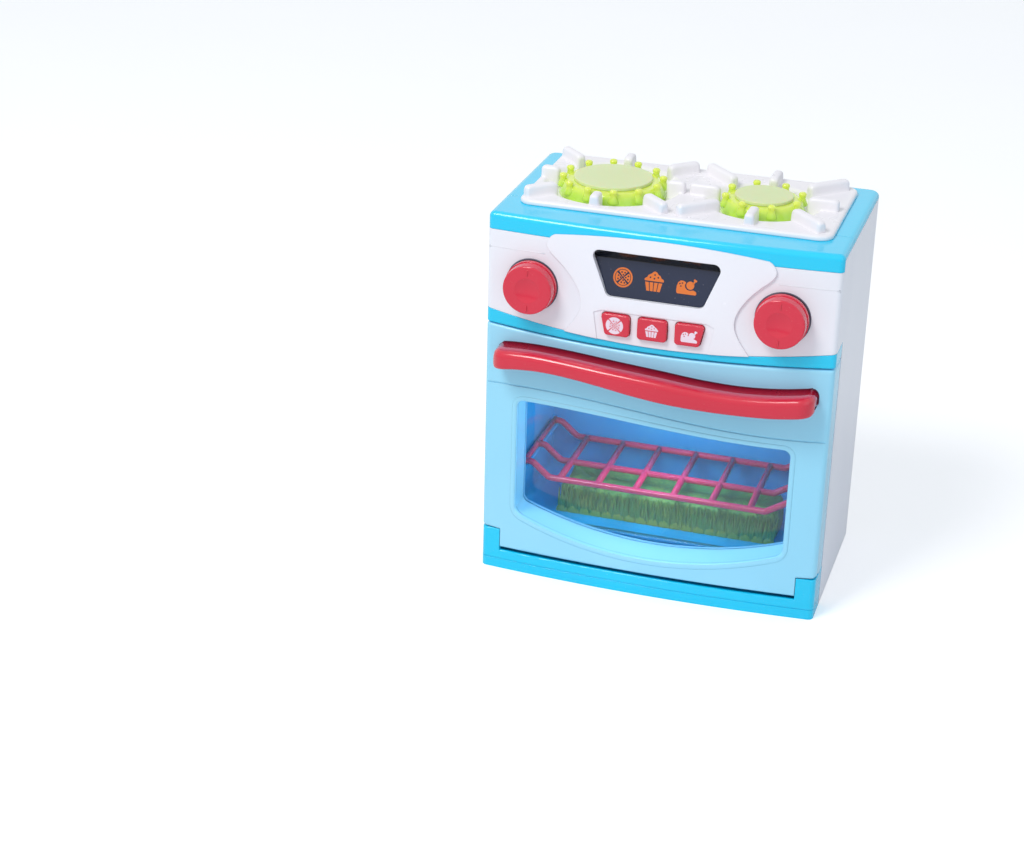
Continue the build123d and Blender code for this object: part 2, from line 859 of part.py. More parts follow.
# Dark display: a wedge-shaped well behind the plate. Its hood slopes in from the upper edge and
# its face leans back from the lower edge. A flange behind the panel holds it.
with BuildPart() as display_panel:
    with BuildSketch(Plane.YZ.offset(panel_x - display_half_top)):
        with BuildLine():
            Polyline(
                (front_y - front_bow, display_high),
                (front_y - front_bow + display_break_depth, display_break_height),
                (front_y - front_bow + display_foot_depth, display_low),
                (front_y + display_back_depth, display_low),
                (front_y + display_back_depth, display_high),
                close=True,
            )
        make_face()
    extrude(amount=2 * display_half_top)
    with BuildSketch(front_view):
        add(display_outline())
    extrude(amount=body_depth, both=True, mode=Mode.INTERSECT)
    with BuildSketch() as rim:
        add(display_outline(display_flange))
        add(display_outline(), mode=Mode.SUBTRACT)
        add(level_band(display_high, body_height, half_width), mode=Mode.SUBTRACT)
    add(cut_to_outline(bow_band(wall + seam, display_back_depth), rim.sketch))
    with BuildSketch(front_view.offset(-display_back_depth)):
        add(level_band(panel_low_middle, body_height, half_width))
    extrude(amount=-body_depth, mode=Mode.SUBTRACT)

# ---------------------------------------------------------------- keys
# Red push keys. Each has a flange behind the panel that stops it, and a stem over its switch.
key_switch_front = circuit_depth - seam - key_switch_height
key_stem_depth = key_switch_front - key_switch_stem - key_travel - gap


def push_key(side):
    """One key: its cap through the fascia, the flange behind the panel and the stem."""
    with BuildPart() as key:
        add(cut_to_outline(
            bow_band(-fascia_raise - key_stand, wall + gap + key_flange_thickness), key_outline(side)
        ))
        fillet(key.faces().sort_by(Axis.Y)[0].edges(), key_edge_radius)
        add(cut_to_outline(
            bow_band(wall + gap, wall + gap + key_flange_thickness), key_outline(side, key_flange)
        ))
        add(depth_rod(
            panel_x + side * key_pitch, (key_low + key_high) / 2, bow_at(0) + wall,
            key_stem_depth, key_stem_radius,
        ))
    return key


key_left = push_key(-1)
key_middle = push_key(0)
key_right = push_key(1)

# ---------------------------------------------------------------- knobs
# Red knob with a dished face and two marks, a shaft moulded to it that turns in the panel's
# bearing, and behind the bearing a washer and a screw that keep it there.
shaft_end_depth = knob_boss_depth + gap


def knob(x):
    """One knob with its shaft."""
    profile_plane = Plane(origin=(x, front_y, knob_height), x_dir=(1, 0, 0), z_dir=(0, 0, 1))
    axis = Axis((x, front_y, knob_height), (0, 1, 0))
    with BuildPart() as turned:
        with BuildSketch(profile_plane):
            with BuildLine():
                dish = ThreePointArc(
                    (0, -knob_face_depth + knob_dish_depth),
                    (knob_dish_radius / 2, -knob_face_depth + knob_dish_depth * knob_dish_curve),
                    (knob_dish_radius, -knob_face_depth),
                )
                Polyline(
                    dish @ 1,
                    (knob_face_radius, -knob_face_depth),
                    (knob_radius, -knob_foot_depth - knob_flange_thickness),
                    (knob_flange_radius, -knob_foot_depth - knob_flange_thickness),
                    (knob_flange_radius, -knob_foot_depth),
                    (knob_shaft_radius, -knob_foot_depth),
                    (knob_shaft_radius, shaft_end_depth),
                    (0, shaft_end_depth),
                    dish @ 0,
                )
            make_face()
        revolve(axis=axis)
        rims = turned.edges().filter_by(GeomType.CIRCLE).group_by(Axis.Y)
        fillet(rims[0].sort_by(SortBy.RADIUS)[-1], 2 * knob_mark_raise)
        for turn in (-1, 1):
            reach = (knob_dish_radius + knob_face_radius) / 2
            add(depth_block(
                x, knob_height + turn * reach, knob_mark_width, knob_mark_length,
                -knob_face_depth - knob_mark_raise, -knob_face_depth + knob_mark_raise,
            ))
        add(depth_rod(
            x, knob_height, 0, shaft_end_depth + past, screw_shank_radius + screw_fit
        ), mode=Mode.SUBTRACT)
    return turned


def knob_washer(x):
    """Washer behind the knob's bearing."""
    with BuildPart() as washer:
        near = shaft_end_depth + screw_fit
        add(depth_rod(x, knob_height, near, near + knob_washer_thickness, knob_washer_radius))
        add(depth_rod(
            x, knob_height, near - past, near + knob_washer_thickness + past,
            screw_shank_radius + seam,
        ), mode=Mode.SUBTRACT)
    return washer


def knob_screw(x):
    """Screw through the washer into the knob's shaft."""
    with BuildPart() as fastener:
        washer_back = shaft_end_depth + screw_fit + knob_washer_thickness
        add(screw(x, knob_height, washer_back + screw_fit + screw_head_height, seam))
    return fastener


knob_left = knob(panel_x - knob_x)
knob_left_washer = knob_washer(panel_x - knob_x)
knob_left_screw = knob_screw(panel_x - knob_x)
knob_right = knob(panel_x + knob_x)
knob_right_washer = knob_washer(panel_x + knob_x)
knob_right_screw = knob_screw(panel_x + knob_x)

# ---------------------------------------------------------------- door
# Pale shell, hollow from behind, with a deep window reveal. It turns on two steel pins in the
# plinth's blocks. The pane lies on the reveal's end and an inner frame is screwed over it.
door_shell_depth = face_depth - door_cover_thickness - seam
pane_near = door_shell_depth - seam - pane_thickness
notch_high = block_high + gap
door_high_side = strip_low_side - door_top_gap
door_high_middle = strip_low_middle - door_top_gap


def door_outline(inset, low):
    """Front view of the door, drawn in by inset, with a notch at each foot for the blocks."""
    with BuildSketch() as outline:
        add(below_smile(door_high_side - inset, door_high_middle - inset, low))
        notch_middle = (door_inner_half - inset + half_width + past) / 2
        notch_width = half_width + past - door_inner_half + inset
        with Locations((notch_middle, (low + notch_high + inset) / 2 - past),
                       (-notch_middle, (low + notch_high + inset) / 2 - past)):
            Rectangle(notch_width, notch_high + inset - low + 2 * past, mode=Mode.SUBTRACT)
    return outline.sketch


with BuildPart() as door_room:
    add(cut_to_outline(
        body_plan(door_wall, front_y + door_shell_depth + past),
        door_outline(door_wall, door_low + door_wall),
    ))
    with BuildSketch(front_view):
        add(window_outline(door_wall))
    extrude(amount=body_depth, both=True, mode=Mode.SUBTRACT)

with BuildPart() as door_shell:
    add(cut_to_outline(
        body_plan(0, front_y + door_shell_depth), door_outline(0, door_low)
    ))
    upper_face = door_shell.faces().sort_by(Axis.Z)[-1]
    rim_edges = upper_face.edges() - upper_face.edges().group_by(Axis.Y)[-1]
    fillet(rim_edges, door_rim_radius)
    foot_face = door_shell.faces().filter_by(Axis.Z).sort_by(Axis.Z)[0]
    fillet(foot_face.edges().sort_by(Axis.Y)[-1], door_foot_radius)
    foot_face = door_shell.faces().filter_by(Axis.Z).sort_by(Axis.Z)[0]
    fillet(foot_face.edges().sort_by(Axis.Y)[0], door_rim_radius)
    with BuildSketch(front_view):
        add(window_outline())
    extrude(amount=body_depth, both=True, mode=Mode.SUBTRACT)
    add(door_room.part, mode=Mode.SUBTRACT)
    with BuildSketch(front_view.offset(-pane_near + seam)):
        add(window_outline(pane_overlap + seam))
    extrude(amount=-body_depth, mode=Mode.SUBTRACT)
    for side in (-1, 1):
        boss_x = side * (door_inner_half - hinge_boss_width / 2)
        boss_high = hinge_height + hinge_boss_radius
        add(depth_block(
            boss_x, (door_low + door_wall / 2 + boss_high) / 2, hinge_boss_width,
            boss_high - door_low - door_wall / 2, bow_at(door_inner_half) + door_wall / 2,
            hinge_depth + hinge_boss_radius,
        ))
        for screw_height in door_screw_heights:
            add(depth_rod(
                side * door_screw_x, screw_height, bow_at(door_screw_x) + door_wall / 2,
                door_shell_depth, door_boss_radius,
            ))
            add(depth_rod(
                side * door_screw_x, screw_height, hinge_depth, door_shell_depth + past,
                screw_shank_radius + screw_fit,
            ), mode=Mode.SUBTRACT)
        add(across(
            hinge_y, hinge_height, side * door_inner_half, side * (half_width + past),
            block_relief_radius,
        ), mode=Mode.SUBTRACT)
        add(across(
            hinge_y, hinge_height, side * (pin_inner_x - past), side * half_width,
            hinge_pin_radius + screw_fit,
        ), mode=Mode.SUBTRACT)
        add(depth_rod(
            side * handle_screw_x, handle_screw_height(side), -front_bow, hinge_depth,
            screw_shank_radius + seam,
        ), mode=Mode.SUBTRACT)
    add(cut_to_outline(
        bow_band(-past, groove_sink),
        wave_band(half_width + past, groove_height, groove_wave, groove_width),
    ), mode=Mode.SUBTRACT)

# The pane, and the inner frame that holds it against the reveal.
with BuildPart() as window_pane:
    with BuildSketch(front_view.offset(-pane_near)):
        add(window_outline(pane_overlap))
    extrude(amount=-pane_thickness)

cover_near = face_depth - door_cover_thickness
door_head_floor = face_depth - screw_head_height
with BuildPart() as door_cover:
    with BuildSketch(front_view.offset(-cover_near)):
        add(door_outline(door_cover_inset, door_cover_low))
        add(level_band(0, body_height, half_width - door_cover_inset), mode=Mode.INTERSECT)
        add(window_outline(), mode=Mode.SUBTRACT)
    extrude(amount=-door_cover_thickness)
    for side in (-1, 1):
        for screw_height in door_screw_heights:
            add(depth_rod(
                side * door_screw_x, screw_height, cover_near - past, face_depth + past,
                screw_shank_radius + seam,
            ), mode=Mode.SUBTRACT)
            add(depth_rod(
                side * door_screw_x, screw_height, door_head_floor - screw_fit, face_depth + past,
                screw_head_radius + seam,
            ), mode=Mode.SUBTRACT)

with BuildPart() as door_screws:
    for side in (-1, 1):
        for screw_height in door_screw_heights:
            add(screw(side * door_screw_x, screw_height, face_depth, hinge_depth + past))

with BuildPart() as hinge_pins:
    for side in (-1, 1):
        add(across(
            hinge_y, hinge_height, side * pin_inner_x, side * pin_outer_x, hinge_pin_radius
        ))

# ---------------------------------------------------------------- door handle
# Red handle that follows the door's bow and wave. Its top reaches back to the door all along, its
# front hangs from that, and fingers go up behind the front. Its two ends are solid, and a screw
# from inside the door goes into each.
handle_middle_half = handle_half - handle_end
finger_floor = min(z for x, z in handle_lower_line) - past


def handle_plan(near, half, corner):
    """Plan of the handle from near to the door, with its front corners rounded."""
    with BuildSketch() as plan:
        add(bow_band(near, -seam))
        Rectangle(2 * half, 2 * body_depth, mode=Mode.INTERSECT)
        fillet(plan.vertices().group_by(Axis.Y)[0], corner)
    return plan.sketch


def front_between(upper_line, lower_line):
    """Front view of what lies between two lines that end above each other."""
    with BuildSketch() as band:
        with BuildLine():
            upper = Spline(upper_line)
            lower = Spline(lower_line)
            Line(lower @ 0, upper @ 0)
            Line(lower @ 1, upper @ 1)
        make_face()
    return band.sketch


finger_line = [(x, z - handle_wall) for x, z in handle_upper_line]
finger_band = front_between(finger_line, [(x, finger_floor) for x, z in handle_lower_line])
with BuildPart() as door_handle:
    add(cut_to_outline(
        handle_plan(-handle_stand, handle_half, handle_corner_radius),
        front_between(handle_upper_line, handle_lower_line),
    ))
    upper_rim = door_handle.faces().sort_by(Axis.Z)[-1].edges().sort_by(SortBy.LENGTH)[:-1]
    lower_rim = door_handle.faces().sort_by(Axis.Z)[0].edges().sort_by(SortBy.LENGTH)[:-1]
    fillet(upper_rim, handle_upper_radius)
    fillet(lower_rim, handle_lower_radius)
    finger_corner = handle_corner_radius - handle_wall
    finger_plan = handle_plan(handle_wall - handle_stand, handle_middle_half, finger_corner)
    add(cut_to_outline(finger_plan, finger_band), mode=Mode.SUBTRACT)
    for side in (-1, 1):
        add(depth_rod(
            side * handle_screw_x, handle_screw_height(side), handle_screw_tip - past, past,
            screw_shank_radius + screw_fit,
        ), mode=Mode.SUBTRACT)

with BuildPart() as handle_screws:
    for side in (-1, 1):
        seat_x = handle_screw_x + screw_head_radius
        head_seat = bow_at(seat_x, door_wall) + door_wall + screw_fit
        head_depth = head_seat + screw_head_height
        add(screw(side * handle_screw_x, handle_screw_height(side), head_depth, handle_screw_tip))

# ---------------------------------------------------------------- oven
# Blue liner: a box behind the mouth with a flange round its front and a ledge on each side.
liner_front = mouth_depth + wall + seam
liner_rear = cavity_rear_depth + liner_wall
with BuildPart() as oven_liner:
    with BuildSketch(front_view.offset(-liner_front)):
        add(cavity_outline(liner_flange))
    extrude(amount=-liner_wall)
    with BuildSketch(front_view.offset(-liner_front)):
        add(cavity_outline(liner_wall))
    extrude(amount=liner_front - liner_rear)
    with BuildSketch(front_view.offset(-liner_front + past)):
        add(cavity_outline())
    extrude(amount=liner_front - past - cavity_rear_depth, mode=Mode.SUBTRACT)
    for side in (-1, 1):
        ledge_outer = cavity_half + liner_wall / 2
        ledge_inner = cavity_half - ledge_width
        add(depth_block(
            side * (ledge_outer + ledge_inner) / 2, ledge_height - ledge_thickness / 2,
            ledge_outer - ledge_inner, ledge_thickness, liner_front, cavity_rear_depth + past / 2,
        ))
    add(upright_rod(
        0, lamp_y, cavity_high - past, cavity_high + body_height, lamp_radius + seam
    ), mode=Mode.SUBTRACT)

# Lamp in the liner's roof, with a flange that rests on it.
with BuildPart() as oven_lamp:
    add(upright_rod(0, lamp_y, cavity_high - lamp_height, cavity_high + lamp_height, lamp_radius))
    fillet(oven_lamp.faces().sort_by(Axis.Z)[0].edges(), lamp_radius / 2)
    flange_low = cavity_high + liner_wall + seam
    add(upright_rod(0, lamp_y, flange_low, flange_low + liner_wall, lamp_radius + liner_wall))

# Red rack: three rails that dip between their ends, six bars and two side rods on the ledges.
rack_high = ledge_height + rack_side_radius


def rod_between(start, end, radius):
    """Cylinder from one point to another, with a ball at its start."""
    line = Vector(*end) - Vector(*start)
    with BuildPart() as rod:
        with BuildSketch(Plane(origin=start, z_dir=line)):
            Circle(radius)
        extrude(amount=line.length)
        with Locations(start):
            Sphere(radius)
    return rod.part


def rack_rail(y):
    """One rail across the rack, raised at both ends."""
    route = [
        (-rack_side_x, y, rack_high),
        (-rack_ramp_high_x, y, rack_high),
        (-rack_ramp_low_x, y, rack_low),
        (rack_ramp_low_x, y, rack_low),
        (rack_ramp_high_x, y, rack_high),
        (rack_side_x, y, rack_high),
    ]
    with BuildPart() as rail:
        for start, end in zip(route, route[1:]):
            add(rod_between(start, end, rack_rod_radius))
    return rail.part


with BuildPart() as oven_rack:
    for depth in rack_rail_depths:
        add(rack_rail(front_y + depth))
    for step in range(rack_bar_count):
        bar_x = (step - (rack_bar_count - 1) / 2) * rack_bar_pitch
        add(depth_rod(
            bar_x, rack_low, rack_rail_depths[0], rack_rail_depths[-1], rack_bar_radius
        ))
    for side in (-1, 1):
        add(depth_rod(
            side * rack_side_x, rack_high, rack_rail_depths[0] - rack_side_overhang,
            rack_rail_depths[-1] + rack_side_overhang, rack_side_radius,
        ))

# Green bed of garnish that lies on the oven's floor, with a scalloped edge.
with BuildPart() as garnish_bed:
    bed_width = garnish_rear_depth - garnish_front_depth
    bed_y = front_y + (garnish_front_depth + garnish_rear_depth) / 2
    lobe_pitch = 2 * (garnish_half - garnish_corner) / (garnish_lobes - 1)
    with BuildSketch(Plane.XY.offset(cavity_low)):
        with Locations((0, bed_y)):
            RectangleRounded(2 * garnish_half, bed_width, garnish_corner)
        for step in range(garnish_lobes):
            lobe_x = (step - (garnish_lobes - 1) / 2) * lobe_pitch
            with Locations((lobe_x, bed_y - bed_width / 2 + lobe_pitch / 2 - garnish_lobe_depth),
                           (lobe_x, bed_y + bed_width / 2 - lobe_pitch / 2 + garnish_lobe_depth)):
                Circle(lobe_pitch / 2)
    extrude(amount=garnish_height)

# ---------------------------------------------------------------- hob tray
# White tray let into the deck: a rim that rests on it, a well, and round each burner eight arms
# that carry a pan.
burner_y = front_y + burner_depth
tray_top = body_height + hob_rim_height


def burner_dish(x, radius, bottom, run, top):
    """A dish's solid, a cone that widens upward: run sets its slope out from the dish's own."""
    slope = dish_spread / (tray_top - hob_floor)
    low_radius = radius + run + (bottom - hob_floor) * slope
    high_radius = radius + run + (top - hob_floor) * slope
    with BuildPart() as bowl:
        with BuildSketch(Plane(origin=(x, burner_y, 0), x_dir=(1, 0, 0), z_dir=(0, -1, 0))):
            with BuildLine():
                Polyline(
                    (0, bottom),
                    (low_radius, bottom),
                    (high_radius, top),
                    (0, top),
                    close=True,
                )
            make_face()
        revolve(axis=Axis((x, burner_y, 0), (0, 0, 1)))
    return bowl.part


def support_arm(x, turn, near, reach):
    """One arm of a pan support, radial from a burner at x: level, with blunt rounded ends."""
    heading = Plane(origin=(x, burner_y, 0), x_dir=(cos(radians(turn)), sin(radians(turn)), 0),
                    z_dir=(sin(radians(turn)), -cos(radians(turn)), 0))
    arm_top = hob_floor + arm_high
    arm_bottom = hob_floor - hob_floor_thickness / 2
    with BuildPart() as arm:
        with BuildSketch(heading):
            with BuildLine():
                Polyline(
                    (near, arm_bottom),
                    (near, arm_top - arm_inner_drop),
                    (near + arm_inner_run, arm_top),
                    (reach - arm_outer_run, arm_top),
                    (reach, arm_top - arm_outer_drop),
                    (reach, arm_bottom),
                    close=True,
                )
            make_face()
        extrude(amount=arm_width / 2, both=True)
        sides = arm.faces().filter_by(
            lambda face: abs(face.normal_at().dot(heading.z_dir)) > side_face_share
        )
        outline = sides.edges().sort_by(Axis.Z)[2:]
        fillet(outline, arm_edge_radius)
    return arm.part


burner_spots = (
    (burner_left_x, left_crown_radius), (burner_right_x, right_crown_radius)
)
with BuildPart() as dishes:
    for burner_x, crown_radius in burner_spots:
        add(burner_dish(burner_x, crown_radius + dish_foot, hob_floor - hob_floor_thickness,
                        dish_wall_run, tray_top - hob_floor_thickness / 2))

with BuildPart() as arm_room:
    with BuildSketch(Plane.XY.offset(tray_top - hob_floor_thickness)):
        add(hob_plan(arm_side_inset))
    extrude(amount=arm_high)
    add(dishes.part)

with BuildPart() as arms:
    for burner_x, crown_radius in burner_spots:
        for step in range(arm_count):
            slant = step % 2 == 1
            reach = arm_slant_reach if slant else arm_straight_reach
            stand = arm_slant_stand if slant else arm_straight_stand
            turn = 360 / arm_count * step
            add(support_arm(burner_x, turn, crown_radius + stand, reach))
    add(arm_room.part, mode=Mode.INTERSECT)
with BuildPart() as hob_tray:
    with BuildSketch(Plane.XY.offset(body_height)):
        add(hob_plan(0))
    extrude(amount=hob_rim_height)
    fillet(hob_tray.faces().sort_by(Axis.Z)[-1].edges(), hob_edge_radius)
    with BuildSketch(Plane.XY.offset(body_height)):
        add(hob_plan(hob_floor_thickness))
    extrude(amount=hob_rim_height - hob_floor_thickness, mode=Mode.SUBTRACT)
    with BuildSketch(Plane.XY.offset(body_height - hob_lip_drop)):
        add(hob_plan(hob_well_inset))
        add(hob_plan(hob_well_inset + hob_floor_thickness), mode=Mode.SUBTRACT)
    extrude(amount=hob_lip_drop + hob_rim_height - hob_floor_thickness / 2)
    add(dishes.part)
    for burner_x, crown_radius in burner_spots:
        add(burner_dish(burner_x, crown_radius + dish_foot, hob_floor, 0, tray_top + past),
            mode=Mode.SUBTRACT)
    add(arms.part)
    for burner_x in (burner_left_x, burner_right_x):
        add(upright_rod(
            burner_x, burner_y, hob_floor - hob_floor_thickness - past, hob_floor + past,
            burner_lamp_radius + seam,
        ), mode=Mode.SUBTRACT)

# ---------------------------------------------------------------- burners
# Translucent crown with a ring of pegs, and the pale cap pressed into its middle.

def crown(x, radius, peg_count, peg_offset):
    """One crown: a hollow turned cup upside down, with pegs round its shoulder."""
    shoulder = radius - crown_shoulder
    with BuildPart() as cup:
        with BuildSketch(Plane(origin=(x, burner_y, hob_floor), x_dir=(1, 0, 0), z_dir=(0, -1, 0))):
            with BuildLine():
                Polyline(
                    (radius, seam),
                    (shoulder, crown_shoulder_height),
                    (shoulder - crown_shoulder, crown_height),
                    (plug_radius + seam, crown_height),
                    (plug_radius + seam, crown_height - crown_wall),
                    (shoulder - crown_shoulder - crown_wall / 2, crown_height - crown_wall),
                    (shoulder - crown_wall, crown_shoulder_height - crown_wall / 2),
                    (radius - crown_wall, seam),
                    close=True,
                )
            make_face()
        revolve(axis=Axis((x, burner_y, 0), (0, 0, 1)))
        for step in range(peg_count):
            turn = radians(360 * step / peg_count + peg_offset)
            peg_x = x + (radius - peg_inset) * cos(turn)
            peg_y = burner_y + (radius - peg_inset) * sin(turn)
            add(peg(peg_x, peg_y))
    return cup


def peg(x, y):
    """One round-tipped peg."""
    with BuildPart() as pin:
        add(upright_rod(x, y, hob_floor + peg_low, hob_floor + peg_high, peg_radius))
        fillet(pin.faces().sort_by(Axis.Z)[-1].edges(), peg_tip_radius)
    return pin.part


def cap(x, radius):
    """One cap: a flat disc with a plug below it."""
    with BuildPart() as disc:
        add(upright_rod(x, burner_y, hob_floor + cap_height - cap_thickness,
                        hob_floor + cap_height, radius))
        fillet(disc.faces().sort_by(Axis.Z)[-1].edges(), cap_thickness / 4)
        add(upright_rod(x, burner_y, hob_floor + cap_height - cap_thickness - cap_plug_drop,
                        hob_floor + cap_height - cap_thickness, plug_radius))
    return disc


burner_left_crown = crown(burner_left_x, left_crown_radius, left_peg_count, left_peg_offset)
burner_left_cap = cap(burner_left_x, left_cap_radius)
burner_right_crown = crown(burner_right_x, right_crown_radius, right_peg_count, right_peg_offset)
burner_right_cap = cap(burner_right_x, right_cap_radius)

# A lamp on a small board under the tray reaches up inside each crown.
board_top = hob_floor - hob_floor_thickness - seam
with BuildPart() as burner_lamps:
    for burner_x in (burner_left_x, burner_right_x):
        with BuildSketch(Plane.XY.offset(board_top - board_thickness)):
            with Locations((burner_x, burner_y)):
                Rectangle(lamp_board_side, lamp_board_side)
        extrude(amount=board_thickness)
        add(upright_rod(
            burner_x, burner_y, board_top - board_thickness / 2, board_top + burner_lamp_height,
            burner_lamp_radius,
        ))

# ---------------------------------------------------------------- electrics in the panel
# Board on four posts behind the display, with a switch behind each key and three lamps.
board_near = circuit_depth
with BuildPart() as circuit_board:
    add(depth_block(
        0, (circuit_low + circuit_high) / 2, 2 * circuit_half, circuit_high - circuit_low,
        board_near, board_near + board_thickness,
    ))

with BuildPart() as key_switches:
    for side in (-1, 0, 1):
        key_height = (key_low + key_high) / 2
        add(depth_block(
            panel_x + side * key_pitch, key_height, key_switch_side, key_switch_side,
            key_switch_front, board_near - seam,
        ))
        add(depth_rod(
            panel_x + side * key_pitch, key_height, key_switch_front - key_switch_stem,
            key_switch_front + seam, key_switch_stem_radius,
        ))

with BuildPart() as display_lamps:
    for side in (-1, 0, 1):
        add(depth_rod(
            panel_x + side * display_lamp_pitch, display_lamp_height, display_back_depth + gap,
            board_near - seam, display_lamp_radius,
        ))

# ---------------------------------------------------------------- speaker and power switch
speaker_face = rear_wall_depth - seam
with BuildPart() as speaker:
    add(depth_rod(
        speaker_x, speaker_height, speaker_face - speaker_rim, speaker_face, speaker_radius
    ))
    add(depth_rod(
        speaker_x, speaker_height, speaker_face - speaker_depth, speaker_face - speaker_rim / 2,
        speaker_magnet_radius,
    ))

# Slide switch behind the rear wall. Its slider's flange is held by the wall's slot.
switch_face = rear_wall_depth - seam
chamber_length = switch_flange_length + switch_travel + 2 * gap
chamber_height = switch_flange_height + 2 * gap
chamber_floor = switch_face - switch_flange_thickness - 2 * gap
with BuildPart() as power_switch_body:
    add(depth_block(
        switch_x, switch_height, switch_body_length, switch_body_height,
        switch_face - switch_body_depth, switch_face,
    ))
    add(depth_block(
        switch_x, switch_height, chamber_length, chamber_height, chamber_floor, switch_face + past
    ), mode=Mode.SUBTRACT)

slider_x = switch_x - switch_travel / 2
with BuildPart() as power_switch_slider:
    add(depth_block(
        slider_x, switch_height, switch_flange_length, switch_flange_height,
        chamber_floor + gap, chamber_floor + gap + switch_flange_thickness,
    ))
    add(depth_block(
        slider_x, switch_height, switch_knob_length, switch_knob_height,
        chamber_floor + gap, body_depth - gap,
    ))
    grip = power_switch_slider.faces().sort_by(Axis.Y)[-1].edges()
    fillet(grip, switch_knob_height / 8)

# ---------------------------------------------------------------- batteries
# Box behind the liner with three cells across it, contacts at their ends, and a cover let into
# the rear wall with one screw.
box_half_x = cell_length / 2 + contact_room
box_half_z = cell_pitch * cell_count / 2
box_rear = rear_wall_depth - seam
cell_depth = box_rear - cell_radius - contact_thickness
box_floor = cell_depth - cell_radius - contact_thickness
cover_screw_height = cell_middle + cover_half_z + cover_screw_rise / 2
with BuildPart() as battery_box:
    add(depth_block(
        0, cell_middle, 2 * (box_half_x + battery_wall), 2 * (box_half_z + battery_wall),
        box_floor - battery_wall, box_rear,
    ))
    add(depth_block(
        0, cell_middle, 2 * (cover_half_x + battery_wall), 2 * (cover_half_z + battery_wall),
        box_rear - battery_wall, box_rear,
    ))
    add(depth_rod(
        0, cover_screw_height, box_rear - 2 * cover_screw_rise, box_rear, cover_screw_rise / 2 + past
    ))
    add(depth_block(
        0, cell_middle, 2 * box_half_x, 2 * box_half_z, box_floor, box_rear + past
    ), mode=Mode.SUBTRACT)
    add(depth_rod(
        0, cover_screw_height, box_rear - 2 * cover_screw_rise + battery_wall, box_rear + past,
        screw_shank_radius + screw_fit,
    ), mode=Mode.SUBTRACT)

cell_places = []
for step in range(cell_count):
    cell_z = cell_middle + (step - (cell_count - 1) / 2) * cell_pitch
    cell_places.append((cell_z, 1 if step % 2 else -1))

cell_y = front_y + cell_depth
with BuildPart() as batteries:
    for cell_z, way in cell_places:
        add(across(
            cell_y, cell_z, -way * cell_length / 2, way * (cell_length / 2 - cell_nub_length),
            cell_radius,
        ))
        add(across(
            cell_y, cell_z, way * (cell_length / 2 - cell_nub_length - past),
            way * cell_length / 2, cell_nub_radius,
        ))

# Each cell has a plate at both ends, with a domed stud at its nub and a cone at its flat end.
with BuildPart() as battery_contacts:
    plate_x = box_half_x - seam - contact_thickness
    stud_x = cell_length / 2 + screw_fit
    for cell_z, way in cell_places:
        for end in (-1, 1):
            with BuildSketch(Plane.YZ.offset(end * (plate_x + contact_thickness / 2))):
                with Locations((cell_y, cell_z)):
                    Rectangle(contact_side, contact_side)
            extrude(amount=contact_thickness / 2, both=True)
            reach = cell_nub_radius if end == way else contact_wide_radius
            add(across(
                cell_y, cell_z, end * stud_x, end * (plate_x + contact_thickness / 2), reach
            ))

with BuildPart() as battery_cover:
    cover_rear = body_depth - seam
    cover_front = rear_wall_depth + seam
    add(depth_block(
        0, cell_middle, 2 * (cover_half_x - seam), 2 * (cover_half_z - seam), cover_front, cover_rear
    ))
    add(depth_block(
        0, cell_middle + cover_half_z, 2 * (cover_screw_rise - seam), 2 * (cover_screw_rise - seam),
        cover_front, cover_rear,
    ))
    add(depth_rod(
        0, cover_screw_height, cover_front - past, body_depth, screw_shank_radius + seam
    ), mode=Mode.SUBTRACT)
    add(depth_rod(
        0, cover_screw_height, cover_rear - screw_head_height - screw_fit, body_depth,
        screw_head_radius + seam,
    ), mode=Mode.SUBTRACT)
    for step in range(cover_rib_count):
        rib_z = cell_middle + (step - (cover_rib_count - 1) / 2) * cover_rib_pitch
        add(depth_block(
            0, rib_z, cover_half_x, cover_rib_pitch / 2, cover_rear - cover_rib_sink, body_depth
        ), mode=Mode.SUBTRACT)

with BuildPart() as battery_cover_screw:
    tip_depth = box_rear - 2 * cover_screw_rise + battery_wall + past
    add(screw(0, cover_screw_height, cover_rear, tip_depth))

os.makedirs("parts", exist_ok=True)
pieces = {
    "front_housing": front_housing,
    "rear_housing": rear_housing,
    "housing_screws": housing_screws,
    "deck_front": deck_front,
    "deck_rear": deck_rear,
    "mid_strip": mid_strip,
    "base_plinth": base_plinth,
    "centre_fascia": centre_fascia,
    "display_panel": display_panel,
    "display_lamps": display_lamps,
    "key_left": key_left,
    "key_middle": key_middle,
    "key_right": key_right,
    "key_switches": key_switches,
    "circuit_board": circuit_board,
    "knob_left": knob_left,
    "knob_left_washer": knob_left_washer,
    "knob_left_screw": knob_left_screw,
    "knob_right": knob_right,
    "knob_right_washer": knob_right_washer,
    "knob_right_screw": knob_right_screw,
    "door_shell": door_shell,
    "window_pane": window_pane,
    "door_cover": door_cover,
    "door_screws": door_screws,
    "hinge_pins": hinge_pins,
    "door_handle": door_handle,
    "handle_screws": handle_screws,
    "oven_liner": oven_liner,
    "oven_lamp": oven_lamp,
    "oven_rack": oven_rack,
    "garnish_bed": garnish_bed,
    "hob_tray": hob_tray,
    "burner_left_crown": burner_left_crown,
    "burner_left_cap": burner_left_cap,
    "burner_right_crown": burner_right_crown,
    "burner_right_cap": burner_right_cap,
    "burner_lamps": burner_lamps,
    "speaker": speaker,
    "power_switch_body": power_switch_body,
    "power_switch_slider": power_switch_slider,
    "battery_box": battery_box,
    "batteries": batteries,
    "battery_contacts": battery_contacts,
    "battery_cover": battery_cover,
    "battery_cover_screw": battery_cover_screw,
}
for name, piece in pieces.items():
    piece.part.label = name
    export_step(piece.part, f"parts/{name}.step")
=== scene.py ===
from math import cos, pi, radians, sin, sqrt

import bmesh
import bpy
from mathutils import Matrix, Vector


